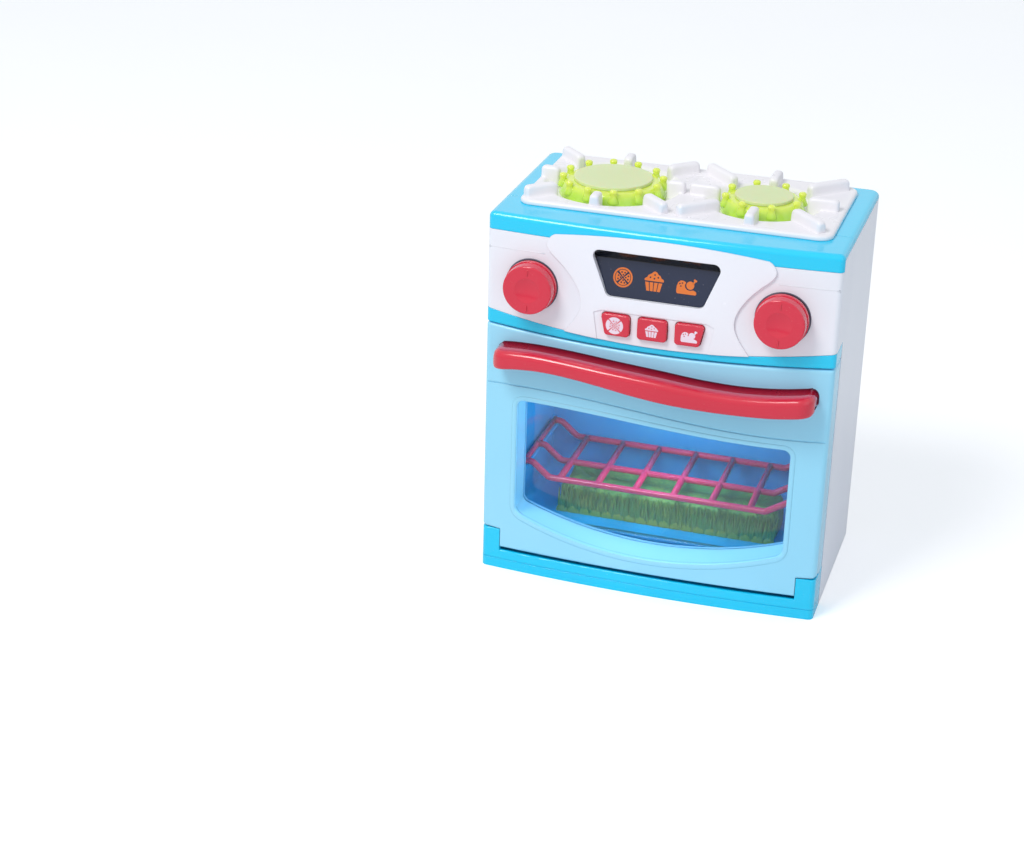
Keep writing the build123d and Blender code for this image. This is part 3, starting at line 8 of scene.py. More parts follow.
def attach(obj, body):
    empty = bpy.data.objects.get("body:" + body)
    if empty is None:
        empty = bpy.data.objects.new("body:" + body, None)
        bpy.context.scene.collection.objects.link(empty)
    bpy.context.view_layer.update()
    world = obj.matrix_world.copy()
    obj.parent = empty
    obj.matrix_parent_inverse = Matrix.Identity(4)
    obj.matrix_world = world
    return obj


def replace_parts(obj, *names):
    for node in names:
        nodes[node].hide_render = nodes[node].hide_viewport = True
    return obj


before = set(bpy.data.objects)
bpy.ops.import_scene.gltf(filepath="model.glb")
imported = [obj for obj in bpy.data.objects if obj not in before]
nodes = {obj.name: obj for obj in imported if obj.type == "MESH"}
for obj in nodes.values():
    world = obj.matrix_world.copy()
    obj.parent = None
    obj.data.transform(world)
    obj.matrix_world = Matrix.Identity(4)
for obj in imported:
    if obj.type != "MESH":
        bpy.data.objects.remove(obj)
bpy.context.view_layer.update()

# ---------------------------------------------------------------- white housings
# Two white injection-moulded shells, front and rear, that meet in a seam down each side and are
# held by six screws sunk in wells in the back. The plastic is smooth, with faint flow marks from
# the mould, a very fine grain and a few hairline rubs. Its edges are rounded by a millimetre.
mm = 0.001
FRONT = -66.0  # the ends of the bowed front, in millimetres
BOW = 5.4
HALF = 110.0


def put(tree, kind, sockets=None, **settings):
    """Adds a node to a tree, and sets or links its input sockets."""
    node = tree.nodes.new("ShaderNode" + kind)
    for key, value in settings.items():
        setattr(node, key, value)
    for key, value in (sockets or {}).items():
        if isinstance(value, bpy.types.NodeSocket):
            tree.links.new(value, node.inputs[key])
        else:
            node.inputs[key].default_value = value
    return node


def begin_group(name, inputs, outputs):
    """An empty shader group with named sockets, and its input and output nodes."""
    tree = bpy.data.node_groups.new(name, "ShaderNodeTree")
    for label, kind, value in inputs:
        socket = tree.interface.new_socket(label, in_out="INPUT", socket_type="NodeSocket" + kind)
        socket.default_value = value
    for label, kind in outputs:
        tree.interface.new_socket(label, in_out="OUTPUT", socket_type="NodeSocket" + kind)
    return tree, tree.nodes.new("NodeGroupInput").outputs, tree.nodes.new("NodeGroupOutput").inputs


def blend_colour(tree, mask, first, second, mode="MIX"):
    """Mixes two colours by a mask and gives the result's socket."""
    node = put(tree, "Mix", data_type="RGBA", blend_type=mode)
    for index, value in ((0, mask), (6, first), (7, second)):
        if isinstance(value, bpy.types.NodeSocket):
            tree.links.new(value, node.inputs[index])
        else:
            node.inputs[index].default_value = value
    return node.outputs[2]


def span(tree, value, low, high, out_low=0.0, out_high=1.0, kind="SMOOTHSTEP"):
    """Maps a value from one range to another."""
    node = put(tree, "MapRange", {
        "Value": value, "From Min": low, "From Max": high, "To Min": out_low, "To Max": out_high,
    }, interpolation_type=kind)
    return node.outputs["Result"]


def figure(tree, operation, first, second=0.0):
    """One step of arithmetic."""
    node = put(tree, "Math", operation=operation)
    for index, value in enumerate((first, second)):
        if isinstance(value, bpy.types.NodeSocket):
            tree.links.new(value, node.inputs[index])
        else:
            node.inputs[index].default_value = value
    return node.outputs[0]


def noise(tree, place, scale, detail=3.0, roughness=0.5, stretch=None):
    """Noise over the surface, in repeats a metre."""
    if stretch:
        place = put(tree, "Mapping", {"Vector": place, "Scale": stretch}).outputs[0]
    return put(tree, "TexNoise", {
        "Vector": place, "Scale": scale, "Detail": detail, "Roughness": roughness,
    }).outputs["Fac"]


moulded, given, result = begin_group(
    "Moulded plastic skin",
    [("Colour", "Color", (1, 1, 1, 1)), ("Shade", "Color", (0.9, 0.9, 0.9, 1)),
     ("Mottle", "Float", 0.4), ("Gloss roughness", "Float", 0.25), ("Rubs", "Float", 0.3),
     ("Grain", "Float", 0.3), ("Edge radius", "Float", 0.0006), ("Edge light", "Float", 0.2)],
    [("Colour", "Color"), ("Roughness", "Float"), ("Normal", "Vector"), ("Edge", "Float")],
)
place = put(moulded, "TexCoord").outputs["Object"]
soft = put(moulded, "Bevel", {"Radius": given["Edge radius"]}, samples=4).outputs["Normal"]
flat = put(moulded, "NewGeometry").outputs["Normal"]
agree = put(moulded, "VectorMath", {0: soft, 1: flat}, operation="DOT_PRODUCT").outputs["Value"]
edge = span(moulded, agree, 0.995, 0.86)
flow = noise(moulded, place, 14.0, 2.0, 0.45, (1.0, 1.0, 0.6))
cloud = noise(moulded, place, 55.0, 3.0, 0.5)
mottle = figure(moulded, "MULTIPLY", span(moulded, flow, 0.35, 0.68), given["Mottle"])
tint = blend_colour(moulded, mottle, given["Colour"], given["Shade"])
rub_a = noise(moulded, place, 70.0, 4.0, 0.6, (1.0, 7.0, 26.0))
rub_b = noise(moulded, place, 90.0, 4.0, 0.6, (24.0, 5.0, 1.0))
rubs = figure(moulded, "ADD", span(moulded, rub_a, 0.66, 0.74), span(moulded, rub_b, 0.68, 0.75))
rubs = figure(moulded, "MULTIPLY", rubs, given["Rubs"])
rubs = figure(moulded, "MULTIPLY", rubs, span(moulded, cloud, 0.45, 0.62))
specks = span(moulded, noise(moulded, place, 1100.0, 1.0, 0.5), 0.74, 0.8)
specks = figure(moulded, "MULTIPLY", specks, given["Rubs"])
# Edges are painted lighter along the edge mask: a painted highlight.
highlight_tint = blend_colour(moulded, 1.0, tint, (1.25, 1.25, 1.25, 1), "MULTIPLY")
tint = blend_colour(moulded, figure(moulded, "MULTIPLY", edge, given["Edge light"]), tint, highlight_tint)
tint = blend_colour(moulded, figure(moulded, "MULTIPLY", specks, 0.35), tint, (0.8, 0.8, 0.8, 1))
shine = figure(moulded, "ADD", given["Gloss roughness"], figure(moulded, "MULTIPLY", rubs, 0.22))
shine = figure(moulded, "ADD", shine, span(moulded, cloud, 0.3, 0.7, -0.025, 0.035, "LINEAR"))
grain = figure(moulded, "MULTIPLY", noise(moulded, place, 1500.0, 2.0, 0.5), given["Grain"])
wave = figure(moulded, "MULTIPLY", flow, 1.4)
height = figure(moulded, "SUBTRACT", figure(moulded, "ADD", grain, wave),
                figure(moulded, "MULTIPLY", rubs, 0.25))
bump = put(moulded, "Bump", {
    "Height": height, "Normal": soft, "Strength": 0.35, "Distance": 0.00006,
}).outputs["Normal"]
for label, socket in (("Colour", tint), ("Roughness", shine), ("Normal", bump), ("Edge", edge)):
    moulded.links.new(socket, result[label])


def tone(code):
    """A colour written as in a paint list, for a shader."""
    parts = [int(code[i:i + 2], 16) / 255 for i in (0, 2, 4)]
    return (*(c / 12.92 if c <= 0.04045 else ((c + 0.055) / 1.055) ** 2.4 for c in parts), 1.0)


def new_material(name):
    """A material with a bare Principled shader, its tree and its shader."""
    material = bpy.data.materials.new(name)
    material.use_nodes = True
    tree = material.node_tree
    return material, tree, tree.nodes["Principled BSDF"]


def skin(tree, shader, colour, shade, **values):
    """Puts the moulded plastic group in a material and wires it to the shader."""
    group = put(tree, "Group", node_tree=moulded)
    group.inputs["Colour"].default_value = tone(colour)
    group.inputs["Shade"].default_value = tone(shade)
    for key, value in values.items():
        group.inputs[key.replace("_", " ").capitalize()].default_value = value
    tree.links.new(group.outputs["Colour"], shader.inputs["Base Color"])
    tree.links.new(group.outputs["Roughness"], shader.inputs["Roughness"])
    tree.links.new(group.outputs["Normal"], shader.inputs["Normal"])
    return group


def plastic(name, colour, shade, coat=0.0, **values):
    """A moulded plastic in one colour."""
    material, tree, shader = new_material(name)
    skin(tree, shader, colour, shade, **values)
    shader.inputs["IOR"].default_value = 1.47
    shader.inputs["Coat Weight"].default_value = coat
    shader.inputs["Coat Roughness"].default_value = 0.08
    return material


def dress(material, *names):
    """Gives CAD pieces a material."""
    for name in names:
        for index in range(max(1, len(nodes[name].data.materials))):
            if nodes[name].data.materials:
                nodes[name].data.materials[index] = material
            else:
                nodes[name].data.materials.append(material)


housing_white = plastic("Housing white", "F2F3FA", "E7E9F3", mottle=0.35, gloss_roughness=0.3,
                        rubs=0.35, grain=0.35, edge_radius=0.0009, edge_light=0.25)
dress(housing_white, "front_housing", "rear_housing", "battery_cover", "battery_box")

steel, steel_tree, steel_shader = new_material("Zinc-plated steel")
steel_place = put(steel_tree, "TexCoord").outputs["Object"]
brushed = noise(steel_tree, steel_place, 900.0, 4.0, 0.6, (1.0, 0.08, 1.0))
steel_tree.links.new(
    blend_colour(steel_tree, span(steel_tree, brushed, 0.3, 0.7), tone("8E9296"), tone("C9CCD0")),
    steel_shader.inputs["Base Color"])
steel_tree.links.new(span(steel_tree, brushed, 0.3, 0.7, 0.22, 0.42, "LINEAR"),
                     steel_shader.inputs["Roughness"])
steel_shader.inputs["Metallic"].default_value = 1.0
dress(steel, "housing_screws", "knob_left_washer", "knob_left_screw", "knob_right_washer",
      "knob_right_screw", "door_screws", "handle_screws", "hinge_pins", "battery_cover_screw",
      "battery_contacts")

# ---------------------------------------------------------------- cyan deck, strip and plinth
# Cyan mouldings: the deck in two halves with a rolled front edge, the strip clipped under the
# panel, and the plinth with its hinge blocks. Glossy, self-coloured plastic.
cyan = plastic("Deck cyan", "06D2FA", "12C4F0", coat=0.4, mottle=0.3, gloss_roughness=0.15,
               rubs=0.3, grain=0.2, edge_radius=0.001, edge_light=0.9)
dress(cyan, "deck_front", "deck_rear", "mid_strip", "base_plinth")


# ---------------------------------------------------------------- control panel
# White plate clipped over the middle of the panel, waisted at both sides. Round the keys it is
# sunk a little. Thin creases cross the panel's ends, where its face leans back.
def bow(x):
    """Depth of the bowed front at x, before its ends, in millimetres."""
    return -BOW * (1 - (x / HALF) ** 2)


def solid(name, points, faces, material, body, slot_name, smooth=True):
    """A mesh piece from points in millimetres, that rides on a body."""
    mesh = bpy.data.meshes.new(name)
    mesh.from_pydata([(x * mm, y * mm, z * mm) for x, y, z in points], [], faces)
    work = bmesh.new()
    work.from_mesh(mesh)
    bmesh.ops.recalc_face_normals(work, faces=work.faces)
    work.to_mesh(mesh)
    work.free()
    for face in mesh.polygons:
        face.use_smooth = smooth
    mesh.materials.append(material)
    piece = bpy.data.objects.new(name, mesh)
    bpy.context.scene.collection.objects.link(piece)
    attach(piece, body)
    return piece


def skin_rings(rings, closed_ring=True, cap=True):
    """Points and faces of a skin over a row of rings with the same number of points."""
    count = len(rings[0])
    points = [point for ring in rings for point in ring]
    faces = []
    for row in range(len(rings) - 1):
        for step in range(count if closed_ring else count - 1):
            a = row * count + step
            b = row * count + (step + 1) % count
            faces.append((a, b, b + count, a + count))
    if cap:
        faces.append(tuple(range(count))[::-1])
        faces.append(tuple(range((len(rings) - 1) * count, len(rings) * count)))
    return points, faces


panel_white = plastic("Panel white", "F5F5FC", "EDEDF6", coat=0.15, mottle=0.3,
                      gloss_roughness=0.24, rubs=0.3, grain=0.25, edge_radius=0.0007, edge_light=0.2)
dress(panel_white, "centre_fascia")

for side in (-1, 1):
    rings = []
    for step in range(13):
        x = side * (72.5 + (109.0 - 72.5) * step / 12)
        front = FRONT + bow(x)
        top = 222.6 - 0.4 * step / 12
        rings.append([(x, front + 0.3, top - 0.7), (x, front - 0.12, top - 0.1),
                      (x, front - 0.12, top + 0.1), (x, front + 0.3, top + 0.7)])
    solid("panel_crease_" + ("left" if side < 0 else "right"), *skin_rings(rings), housing_white,
          "oven", "housing")

# ---------------------------------------------------------------- display
# Dark glossy navy moulding sunk in the plate: a hood slopes in under its upper edge and a face
# leans back from its lower edge. The down-facing hood is painted near-black as painted shade.
# Three orange pictures of food are printed on the face.
display, display_tree, display_shader = new_material("Display navy, hood in painted shade")
display_skin = skin(display_tree, display_shader, "242D47", "1D253B", mottle=0.5,
                    gloss_roughness=0.16, rubs=0.4, grain=0.2, edge_radius=0.0005, edge_light=0.3)
display_place = put(display_tree, "SeparateXYZ", {
    "Vector": put(display_tree, "TexCoord").outputs["Object"]}).outputs["Z"]
# Above 224 mm the hood, which faces down, is painted near-black: painted shade.
hood_shade_mask = span(display_tree, display_place, 0.2238, 0.2249)
display_tree.links.new(
    blend_colour(display_tree, hood_shade_mask, display_skin.outputs["Colour"], tone("0C0D13")),
    display_shader.inputs["Base Color"])
dress(display, "display_panel")

orange = plastic("Picture orange", "E67A35", "D96C2C", mottle=0.6, gloss_roughness=0.4, rubs=0.3,
                 grain=0.2, edge_radius=0.0001, edge_light=0.0)


def disc(x, z, radius, steps=28, start=0.0, end=360.0):
    """Outline of a disc or a slice of one."""
    turns = [radians(start + (end - start) * i / steps) for i in range(steps + 1)]
    outline = [(x + radius * cos(t), z + radius * sin(t)) for t in turns]
    if end - start < 360:
        outline.append((x, z))
    else:
        outline.pop()
    return outline


def pizza(crust=True):
    """Four slices with toppings on them, inside a crust or bare."""
    reach_out = 4.5 if crust else 6.3
    shapes, dots = [], []
    for quarter in range(4):
        gap, off = (5, 0.4) if crust else (2.5, 0.25)
        start = 45 + 90 * quarter + gap
        shapes.append([(off * cos(radians(start + 45 - gap)) + px,
                        off * sin(radians(start + 45 - gap)) + pz)
                       for px, pz in disc(0, 0, reach_out, 10, start, start + 90 - 2 * gap)])
        for swing, reach in ((22, 3.3), (58, 3.5), (42, 1.7)):
            turn = radians(start + swing)
            dots.append(disc(reach * cos(turn) + 0.2, reach * sin(turn), 0.55, 10))
    for step in range(48 if crust else 0):
        a, b = 2 * pi * step / 48, 2 * pi * (step + 1) / 48
        shapes.append([(5.3 * cos(a), 5.3 * sin(a)), (6.4 * cos(a), 6.4 * sin(a)),
                       (6.4 * cos(b), 6.4 * sin(b)), (5.3 * cos(b), 5.3 * sin(b))])
    return shapes, dots


def muffin():
    """A domed top over a pleated cup of four strips, and the crumbs on the top."""
    top = [(-6.2, 0.1), (-6.3, 1.2), (-5.4, 2.0), (-4.7, 2.3), (-4.1, 3.6), (-3.0, 4.3),
           (-1.6, 5.1), (-0.8, 6.1), (0.4, 6.4), (1.6, 5.8), (2.4, 4.6), (3.8, 3.9), (4.7, 2.3),
           (5.6, 2.0), (6.3, 1.2), (6.2, 0.1)]
    shapes = [top]
    for step in range(4):
        left, right = -5.8 + 2.95 * step, -5.8 + 2.95 * (step + 1) - 0.6
        shapes.append([(left, -0.7), (right, -0.7), (right * 0.78, -6.3), (left * 0.78, -6.3)])
    dots = [disc(x, z, 0.55, 10) for x, z in ((-2.6, 2.4), (0.2, 4.2), (2.5, 2.7), (0.0, 1.8))]
    return shapes, dots


def roast():
    """A roast bird on a plate: body, leg and bone, and three flecks on its skin."""
    body = [(-6.6, -3.2), (-6.5, -0.6), (-5.6, 1.8), (-4.0, 3.0), (-2.0, 2.9), (-0.6, 1.9),
            (-1.3, 0.4), (-1.0, -1.2), (0.3, -2.5), (2.2, -2.9), (4.4, -2.4), (6.2, -3.2),
            (6.6, -4.4), (6.0, -5.4), (-5.9, -5.4), (-6.5, -4.6)]
    leg = disc(2.2, 0.4, 2.6, 24)
    bone = [(3.5, 1.9), (4.5, 3.3), (4.0, 4.1), (4.7, 4.8), (5.4, 4.4), (6.3, 4.0), (6.3, 3.1),
            (5.4, 2.9), (4.3, 1.0)]
    dots = [disc(x, z, 0.5, 10) for x, z in ((-4.6, 0.9), (-3.0, 1.4), (-3.9, -0.6))]
    return [body, leg, bone], dots


def picture(name, shapes, x, z, scale, depth, material, body):
    """Flat print of shapes on a surface whose depth at (x, z) is given, as a thin raised film."""
    work = bmesh.new()
    for shape in shapes:
        outline = [(x + px * scale, z + pz * scale) for px, pz in shape]
        fine = []
        for (ax, az), (bx, bz) in zip(outline, outline[1:] + outline[:1]):
            fine.extend([(ax, az), ((ax + bx) / 2, (az + bz) / 2)])
        corners = [work.verts.new((px * mm, depth(px, pz) * mm, pz * mm)) for px, pz in fine]
        work.faces.new(corners)
    bmesh.ops.triangulate(work, faces=work.faces)
    bmesh.ops.recalc_face_normals(work, faces=work.faces)
    for face in work.faces:
        if face.normal.y > 0:
            face.normal_flip()
    mesh = bpy.data.meshes.new(name)
    work.to_mesh(mesh)
    work.free()
    mesh.materials.append(material)
    print_film = bpy.data.objects.new(name, mesh)
    bpy.context.scene.collection.objects.link(print_film)
    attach(print_film, body)
    return print_film


def display_face(x, z):
    """Depth of the display's leaning face."""
    return FRONT - BOW + 1.0 + (z - 201.8) * (5.2 - 1.0) / (224.6 - 201.8) - 0.06


FLECK_RISE = 0.04  # how far the flecks stand before the picture
DISPLAY_PICTURE_Z = 213.8
DISPLAY_PICTURE_SCALE = 0.95
for label, (shapes, dots), x in (("pizza", pizza(), -22.9), ("muffin", muffin(), -3.4),
                                 ("roast", roast(), 16.9)):
    picture("display_picture_" + label, shapes, x, DISPLAY_PICTURE_Z, DISPLAY_PICTURE_SCALE,
            display_face, orange, "oven")
    picture("display_flecks_" + label, dots, x, DISPLAY_PICTURE_Z, DISPLAY_PICTURE_SCALE,
            lambda px, pz: display_face(px, pz) - FLECK_RISE, display, "oven")

# ---------------------------------------------------------------- keys
# Three red push keys with the same pictures printed on them in white, small.
red = plastic("Control red", "DC1C3C", "CC1433", coat=0.5, mottle=0.35, gloss_roughness=0.15,
              rubs=0.3, grain=0.2, edge_radius=0.0007, edge_light=0.7)
dress(red, "key_left", "key_middle", "key_right")
key_print = plastic("Key print white", "F6E4F0", "EBCFE0", mottle=0.7, gloss_roughness=0.4,
                    rubs=0.5, grain=0.2, edge_radius=0.0001, edge_light=0.0)


def key_face(x, z):
    """Depth of a key's face."""
    return FRONT + bow(x) - 1.25 - 2.4 - 0.05


KEY_PICTURE_Z = 184.3
for label, (shapes, dots), x, scale, name in (
        ("pizza", pizza(False), -25.2, 0.84, "key_left"),
        ("muffin", muffin(), -1.8, 0.66, "key_middle"),
        ("roast", roast(), 21.6, 0.78, "key_right")):
    picture("key_picture_" + label, shapes, x, KEY_PICTURE_Z, scale, key_face, key_print,
            name + "_body")
    picture("key_flecks_" + label, dots, x, KEY_PICTURE_Z, scale,
            lambda px, pz: key_face(px, pz) - FLECK_RISE, red, name + "_body")

# ---------------------------------------------------------------- knobs
# Two red knobs with a dished face and two small raised marks. Each turns in the panel and is held
# from behind by a washer and a screw. The thin grey ring round each knob's foot is painted shadow.
dress(red, "knob_left", "knob_right")
knob_shadow_grey = plastic("Painted knob shadow grey", "6C6478", "5E566A", mottle=0.5, gloss_roughness=0.5, rubs=0.2,
                    grain=0.3, edge_radius=0.0001, edge_light=0.0)
KNOB_Z = 201.3
SHADOW_RING_FACE = 0.06  # how far the grey ring round a knob's foot stands before the panel
# Painted shadow: a thin grey ring laid on the panel round each knob's foot.
for label, middle in (("left", -80.1), ("right", 76.5)):
    rings = []
    for radius, rise in ((15.6, 0.05), (15.6, SHADOW_RING_FACE), (16.9, SHADOW_RING_FACE), (17.0, 0.05)):
        rings.append([(middle + radius * cos(turn),
                       FRONT + bow(middle + radius * cos(turn)) - rise,
                       KNOB_Z + radius * sin(turn))
                      for turn in (2 * pi * step / 72 for step in range(72))])
    solid("knob_shadow_ring_" + label, *skin_rings(rings + rings[:1], cap=False), knob_shadow_grey, "oven",
          "housing")

# ---------------------------------------------------------------- door
# Pale aqua shell with a deep reveal round the window, screwed to an inner frame of the same
# plastic that clamps the pane. It turns on two steel pins in the plinth's blocks.
aqua = plastic("Door aqua", "9FE2FC", "94DAF6", coat=0.2, mottle=0.35, gloss_roughness=0.22,
               rubs=0.3, grain=0.25, edge_radius=0.0011, edge_light=0.35)
dress(aqua, "door_shell", "door_cover")

pane, pane_tree, pane_shader = new_material("Window pane")
pane_place = put(pane_tree, "TexCoord").outputs["Object"]
smear = noise(pane_tree, pane_place, 40.0, 4.0, 0.6, (1.0, 1.0, 2.4))
dust = span(pane_tree, noise(pane_tree, pane_place, 1400.0, 1.0, 0.5), 0.76, 0.82)
pane_tree.links.new(
    blend_colour(pane_tree, span(pane_tree, smear, 0.3, 0.7), tone("E4F1FC"), tone("D6EAFB")),
    pane_shader.inputs["Base Color"])
pane_tree.links.new(
    figure(pane_tree, "ADD", span(pane_tree, smear, 0.35, 0.8, 0.02, 0.09, "LINEAR"),
           figure(pane_tree, "MULTIPLY", dust, 0.3)), pane_shader.inputs["Roughness"])
pane_shader.inputs["IOR"].default_value = 1.49
pane_shader.inputs["Specular IOR Level"].default_value = 0.35
pane_shader.inputs["Transmission Weight"].default_value = 1.0
pane_light = put(pane_tree, "LightPath")
pane_through = put(pane_tree, "BsdfTransparent", {"Color": (0.9, 0.96, 1.0, 1)})
pane_ways = figure(pane_tree, "MAXIMUM", pane_light.outputs["Is Shadow Ray"],
                   pane_light.outputs["Is Diffuse Ray"])
pane_mix = put(pane_tree, "MixShader", {
    0: pane_ways, 1: pane_shader.outputs[0], 2: pane_through.outputs[0]})
pane_tree.links.new(pane_mix.outputs[0],
                    pane_tree.nodes["Material Output"].inputs["Surface"])
dress(pane, "window_pane")


# The window's front edge is rolled: a rounded bead of the same plastic runs round the opening.
WINDOW_HALF = 88.0
WINDOW_TURN = 5.5  # run of a corner's bend along its two sides
WINDOW_LOW_TURN = 6.0  # the same up the side from a lower corner
LOW_RADIUS, LOW_MIDDLE_Z = 236.26, 261.76  # the arc of the window's lower edge


def window_top(x):
    """Height of the window's upper edge."""
    return 118.9 - 3.4 * sin(pi * x / 154.0)


def window_low(x):
    """Height of the window's lower edge."""
    return LOW_MIDDLE_Z - sqrt(LOW_RADIUS ** 2 - x ** 2)


def bend(start, corner, end, steps=8):
    """A soft corner from start to end."""
    return [tuple((1 - s) ** 2 * a + 2 * s * (1 - s) * b + s * s * c
                  for a, b, c in zip(start, corner, end))
            for s in (i / steps for i in range(steps + 1))]


def window_edge(steps=44):
    """Outline of the window from its top left corner round, with the way out at each point."""
    half, inner = WINDOW_HALF, WINDOW_HALF - WINDOW_TURN
    stations = [-inner + 2 * inner * i / steps for i in range(steps + 1)]
    low_side = window_low(half) + WINDOW_LOW_TURN
    route = [(x, window_top(x)) for x in stations]
    route += bend((inner, window_top(inner)), (half, window_top(half)),
                  (half, window_top(half) - WINDOW_TURN))
    route += bend((half, low_side), (half, window_low(half)), (inner, window_low(inner)))
    route += [(x, window_low(x)) for x in reversed(stations[1:-1])]
    route += bend((-inner, window_low(inner)), (-half, window_low(half)), (-half, low_side))
    route += bend((-half, window_top(-half) - WINDOW_TURN), (-half, window_top(-half)),
                  (-inner, window_top(-inner)))
    clean = [spot for i, spot in enumerate(route)
             if abs(spot[0] - route[i - 1][0]) + abs(spot[1] - route[i - 1][1]) > 0.01]
    outline = []
    for i, (x, z) in enumerate(clean):
        ahead = Vector(clean[(i + 1) % len(clean)]) - Vector(clean[i - 1])
        ahead.normalize()
        outline.append((x, z, -ahead.y, ahead.x))
    return outline


bead_rings = []
for x, z, out_x, out_z in window_edge():
    bead_rings.append([
        (x + out_x * out, FRONT + bow(x + out_x * out) + depth, z + out_z * out)
        for out, depth in ((3.4, 0.05), (2.6, -0.16), (1.7, -0.26), (0.9, -0.16), (0.3, 0.14),
                           (-0.1, 0.6), (-0.3, 1.2), (-0.3, 2.0), (-0.15, 3.2), (0.1, 4.0),
                           (1.6, 2.0))])
solid("window_bead", *skin_rings(bead_rings + bead_rings[:1], cap=False), aqua, "door", "door")

# Red handle: a channel that follows the door's bow and wave. Its top reaches back to the door all
# along, its front hangs from that, and its two ends are solid and take a screw each.
HANDLE_UPPER = [(-101.5, 159.9), (-88, 161.2), (-72, 161.7), (-50, 160.9), (-25, 159.1), (4, 157),
                (30, 154.7), (55, 153.8), (78, 155.1), (101.5, 158.4)]
HANDLE_LOWER = [(-101.5, 147.6), (-82.6, 150.5), (-66, 151.4), (-48, 150.4), (-28.8, 148.1),
                (-9.6, 145.3), (12, 143), (34, 142), (61, 142), (80, 142.9), (101.5, 145.6)]


HANDLE_HALF = 101.5
HANDLE_STAND = 18.0
HANDLE_PLAN_ROUND, HANDLE_TOP_ROUND, HANDLE_LOW_ROUND = 9.0, 5.0, 2.5  # rounds of its two ends
HANDLE_WALL = 3.0
SOLID_END = 12.6  # length of each solid end


def height_on(line, x):
    """Height at x of the smooth line through the points."""
    slopes = []
    for i in range(len(line)):
        before, after = line[max(0, i - 1)], line[min(len(line) - 1, i + 1)]
        slopes.append((after[1] - before[1]) / (after[0] - before[0]))
    i = max(0, min(len(line) - 2, sum(1 for px, pz in line if px < x) - 1))
    (ax, az), (bx, bz) = line[i], line[i + 1]
    s, run = (x - ax) / (bx - ax), bx - ax
    return ((2 * s ** 3 - 3 * s * s + 1) * az + (s ** 3 - 2 * s * s + s) * run * slopes[i]
            + (3 * s * s - 2 * s ** 3) * bz + (s ** 3 - s * s) * run * slopes[i + 1])


def rounded_off(distance, radius):
    """How far a quarter-round corner has dropped at a distance from its end."""
    into = max(0.0, radius - distance)
    return radius - sqrt(max(0.0, radius ** 2 - into ** 2))


stations = [HANDLE_HALF - d for d in (0, 0.12, 0.45, 0.95, 1.6, 2.4, 3.3, 4.3, 5.4, 6.6, 7.8, 9.0, 10.5,
                                12.3, 12.9, 14.2)]
stations += [87.3 * (1 - i / 24) for i in range(1, 24)]
stations = stations + [0.0] + [-x for x in reversed(stations)]
handle_rings = []
for x in stations:
    from_end = HANDLE_HALF - abs(x)
    front = -HANDLE_STAND + rounded_off(from_end, HANDLE_PLAN_ROUND)
    top = height_on(HANDLE_UPPER, x) - rounded_off(from_end, HANDLE_TOP_ROUND)
    low = height_on(HANDLE_LOWER, x) + rounded_off(from_end, HANDLE_LOW_ROUND)
    hollow = from_end > SOLID_END
    roof = top - HANDLE_WALL if hollow else low
    inner = front + HANDLE_WALL if hollow else -0.9
    section = [(-0.04, top), (front + 5.5, top), (front + 3.4, top - 0.1), (front + 2.1, top - 0.55),
               (front + 1.05, top - 1.4), (front + 0.35, top - 2.6), (front + 0.05, top - 3.9),
               (front, top - 5.0), (front, low + 2.4), (front + 0.15, low + 1.0),
               (front + 0.5, low + 0.35), (front + 1.1, low), (inner - 0.5, low),
               (inner, low + (0.5 if hollow else 0.0)), (inner, roof - (0.8 if hollow else 0.0)),
               (inner + 0.3, roof), (-0.04, roof)]
    handle_rings.append([(x, FRONT + bow(x) + depth, z) for depth, z in section])
handle = solid("door_handle_channel", *skin_rings(handle_rings), red, "door", "red")
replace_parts(handle, "door_handle")

# A thin dark strip laid in the joint where the handle meets the door is painted shade.
joint_painted_shade = plastic("Painted joint shade", "5A1C38", "471630", mottle=0.6, gloss_roughness=0.6, rubs=0.2,
                     grain=0.3, edge_radius=0.0001, edge_light=0.0)
joint_spots = []
for step in range(61):
    x = -101.0 + 199.0 * step / 60
    drop = rounded_off(HANDLE_HALF - abs(x), HANDLE_TOP_ROUND)
    joint_spots.append((x, height_on(HANDLE_UPPER, x) - drop, 0.0, 1.0))
for step in range(1, 7):
    swing = pi / 2 * step / 6
    joint_spots.append((HANDLE_HALF - 5 + 5 * sin(swing),
                        height_on(HANDLE_UPPER, 101.0) - 5 + 5 * cos(swing), sin(swing), cos(swing)))
joint_spots.append((HANDLE_HALF, 149.5, 1.0, 0.0))
joint_spots.append((HANDLE_HALF, 148.2, 0.6, 0.0))
joint_spots.sort(key=lambda spot: (spot[0], -spot[1]))
rings = []
for x, z, out_x, out_z in joint_spots:
    rings.append([(x + out_x * out, FRONT + bow(x + out_x * out) + depth, z + out_z * out)
                  for out, depth in ((-0.2, 0.1), (-0.2, -0.14), (0.6, -0.14), (0.7, 0.1))])
solid("handle_joint_painted_shade", *skin_rings(rings), joint_painted_shade, "door", "red")

# ---------------------------------------------------------------- oven
# Deep blue vacuum-smooth liner behind the door's window, with a ledge on each side, and a small
# clear lamp let into its roof.
blue = plastic("Liner blue", "2CB0E4", "249FD6", coat=0.6, mottle=0.5, gloss_roughness=0.09,
               rubs=0.3, grain=0.1, edge_radius=0.0012, edge_light=0.25)
dress(blue, "oven_liner")

# A thin blue lip turned out of the liner covers the edge of the white wall in front of it.
MOUTH_HALF, MOUTH_LOW, MOUTH_HIGH, MOUTH_CORNER = 94.0, 28.0, 127.0, 5.0


def rounded_ring(half, low, high, corner, steps):
    """Rounded rectangle as (across, along) points, from its right side round by its upper end."""
    ring = []
    for quarter in range(4):
        side = 1 if quarter in (0, 3) else -1
        middle = high - corner if quarter < 2 else low + corner
        for step in range(steps + 1):
            turn = pi / 2 * (quarter + step / steps)
            ring.append((side * (half - corner) + corner * cos(turn), middle + corner * sin(turn)))
    return ring


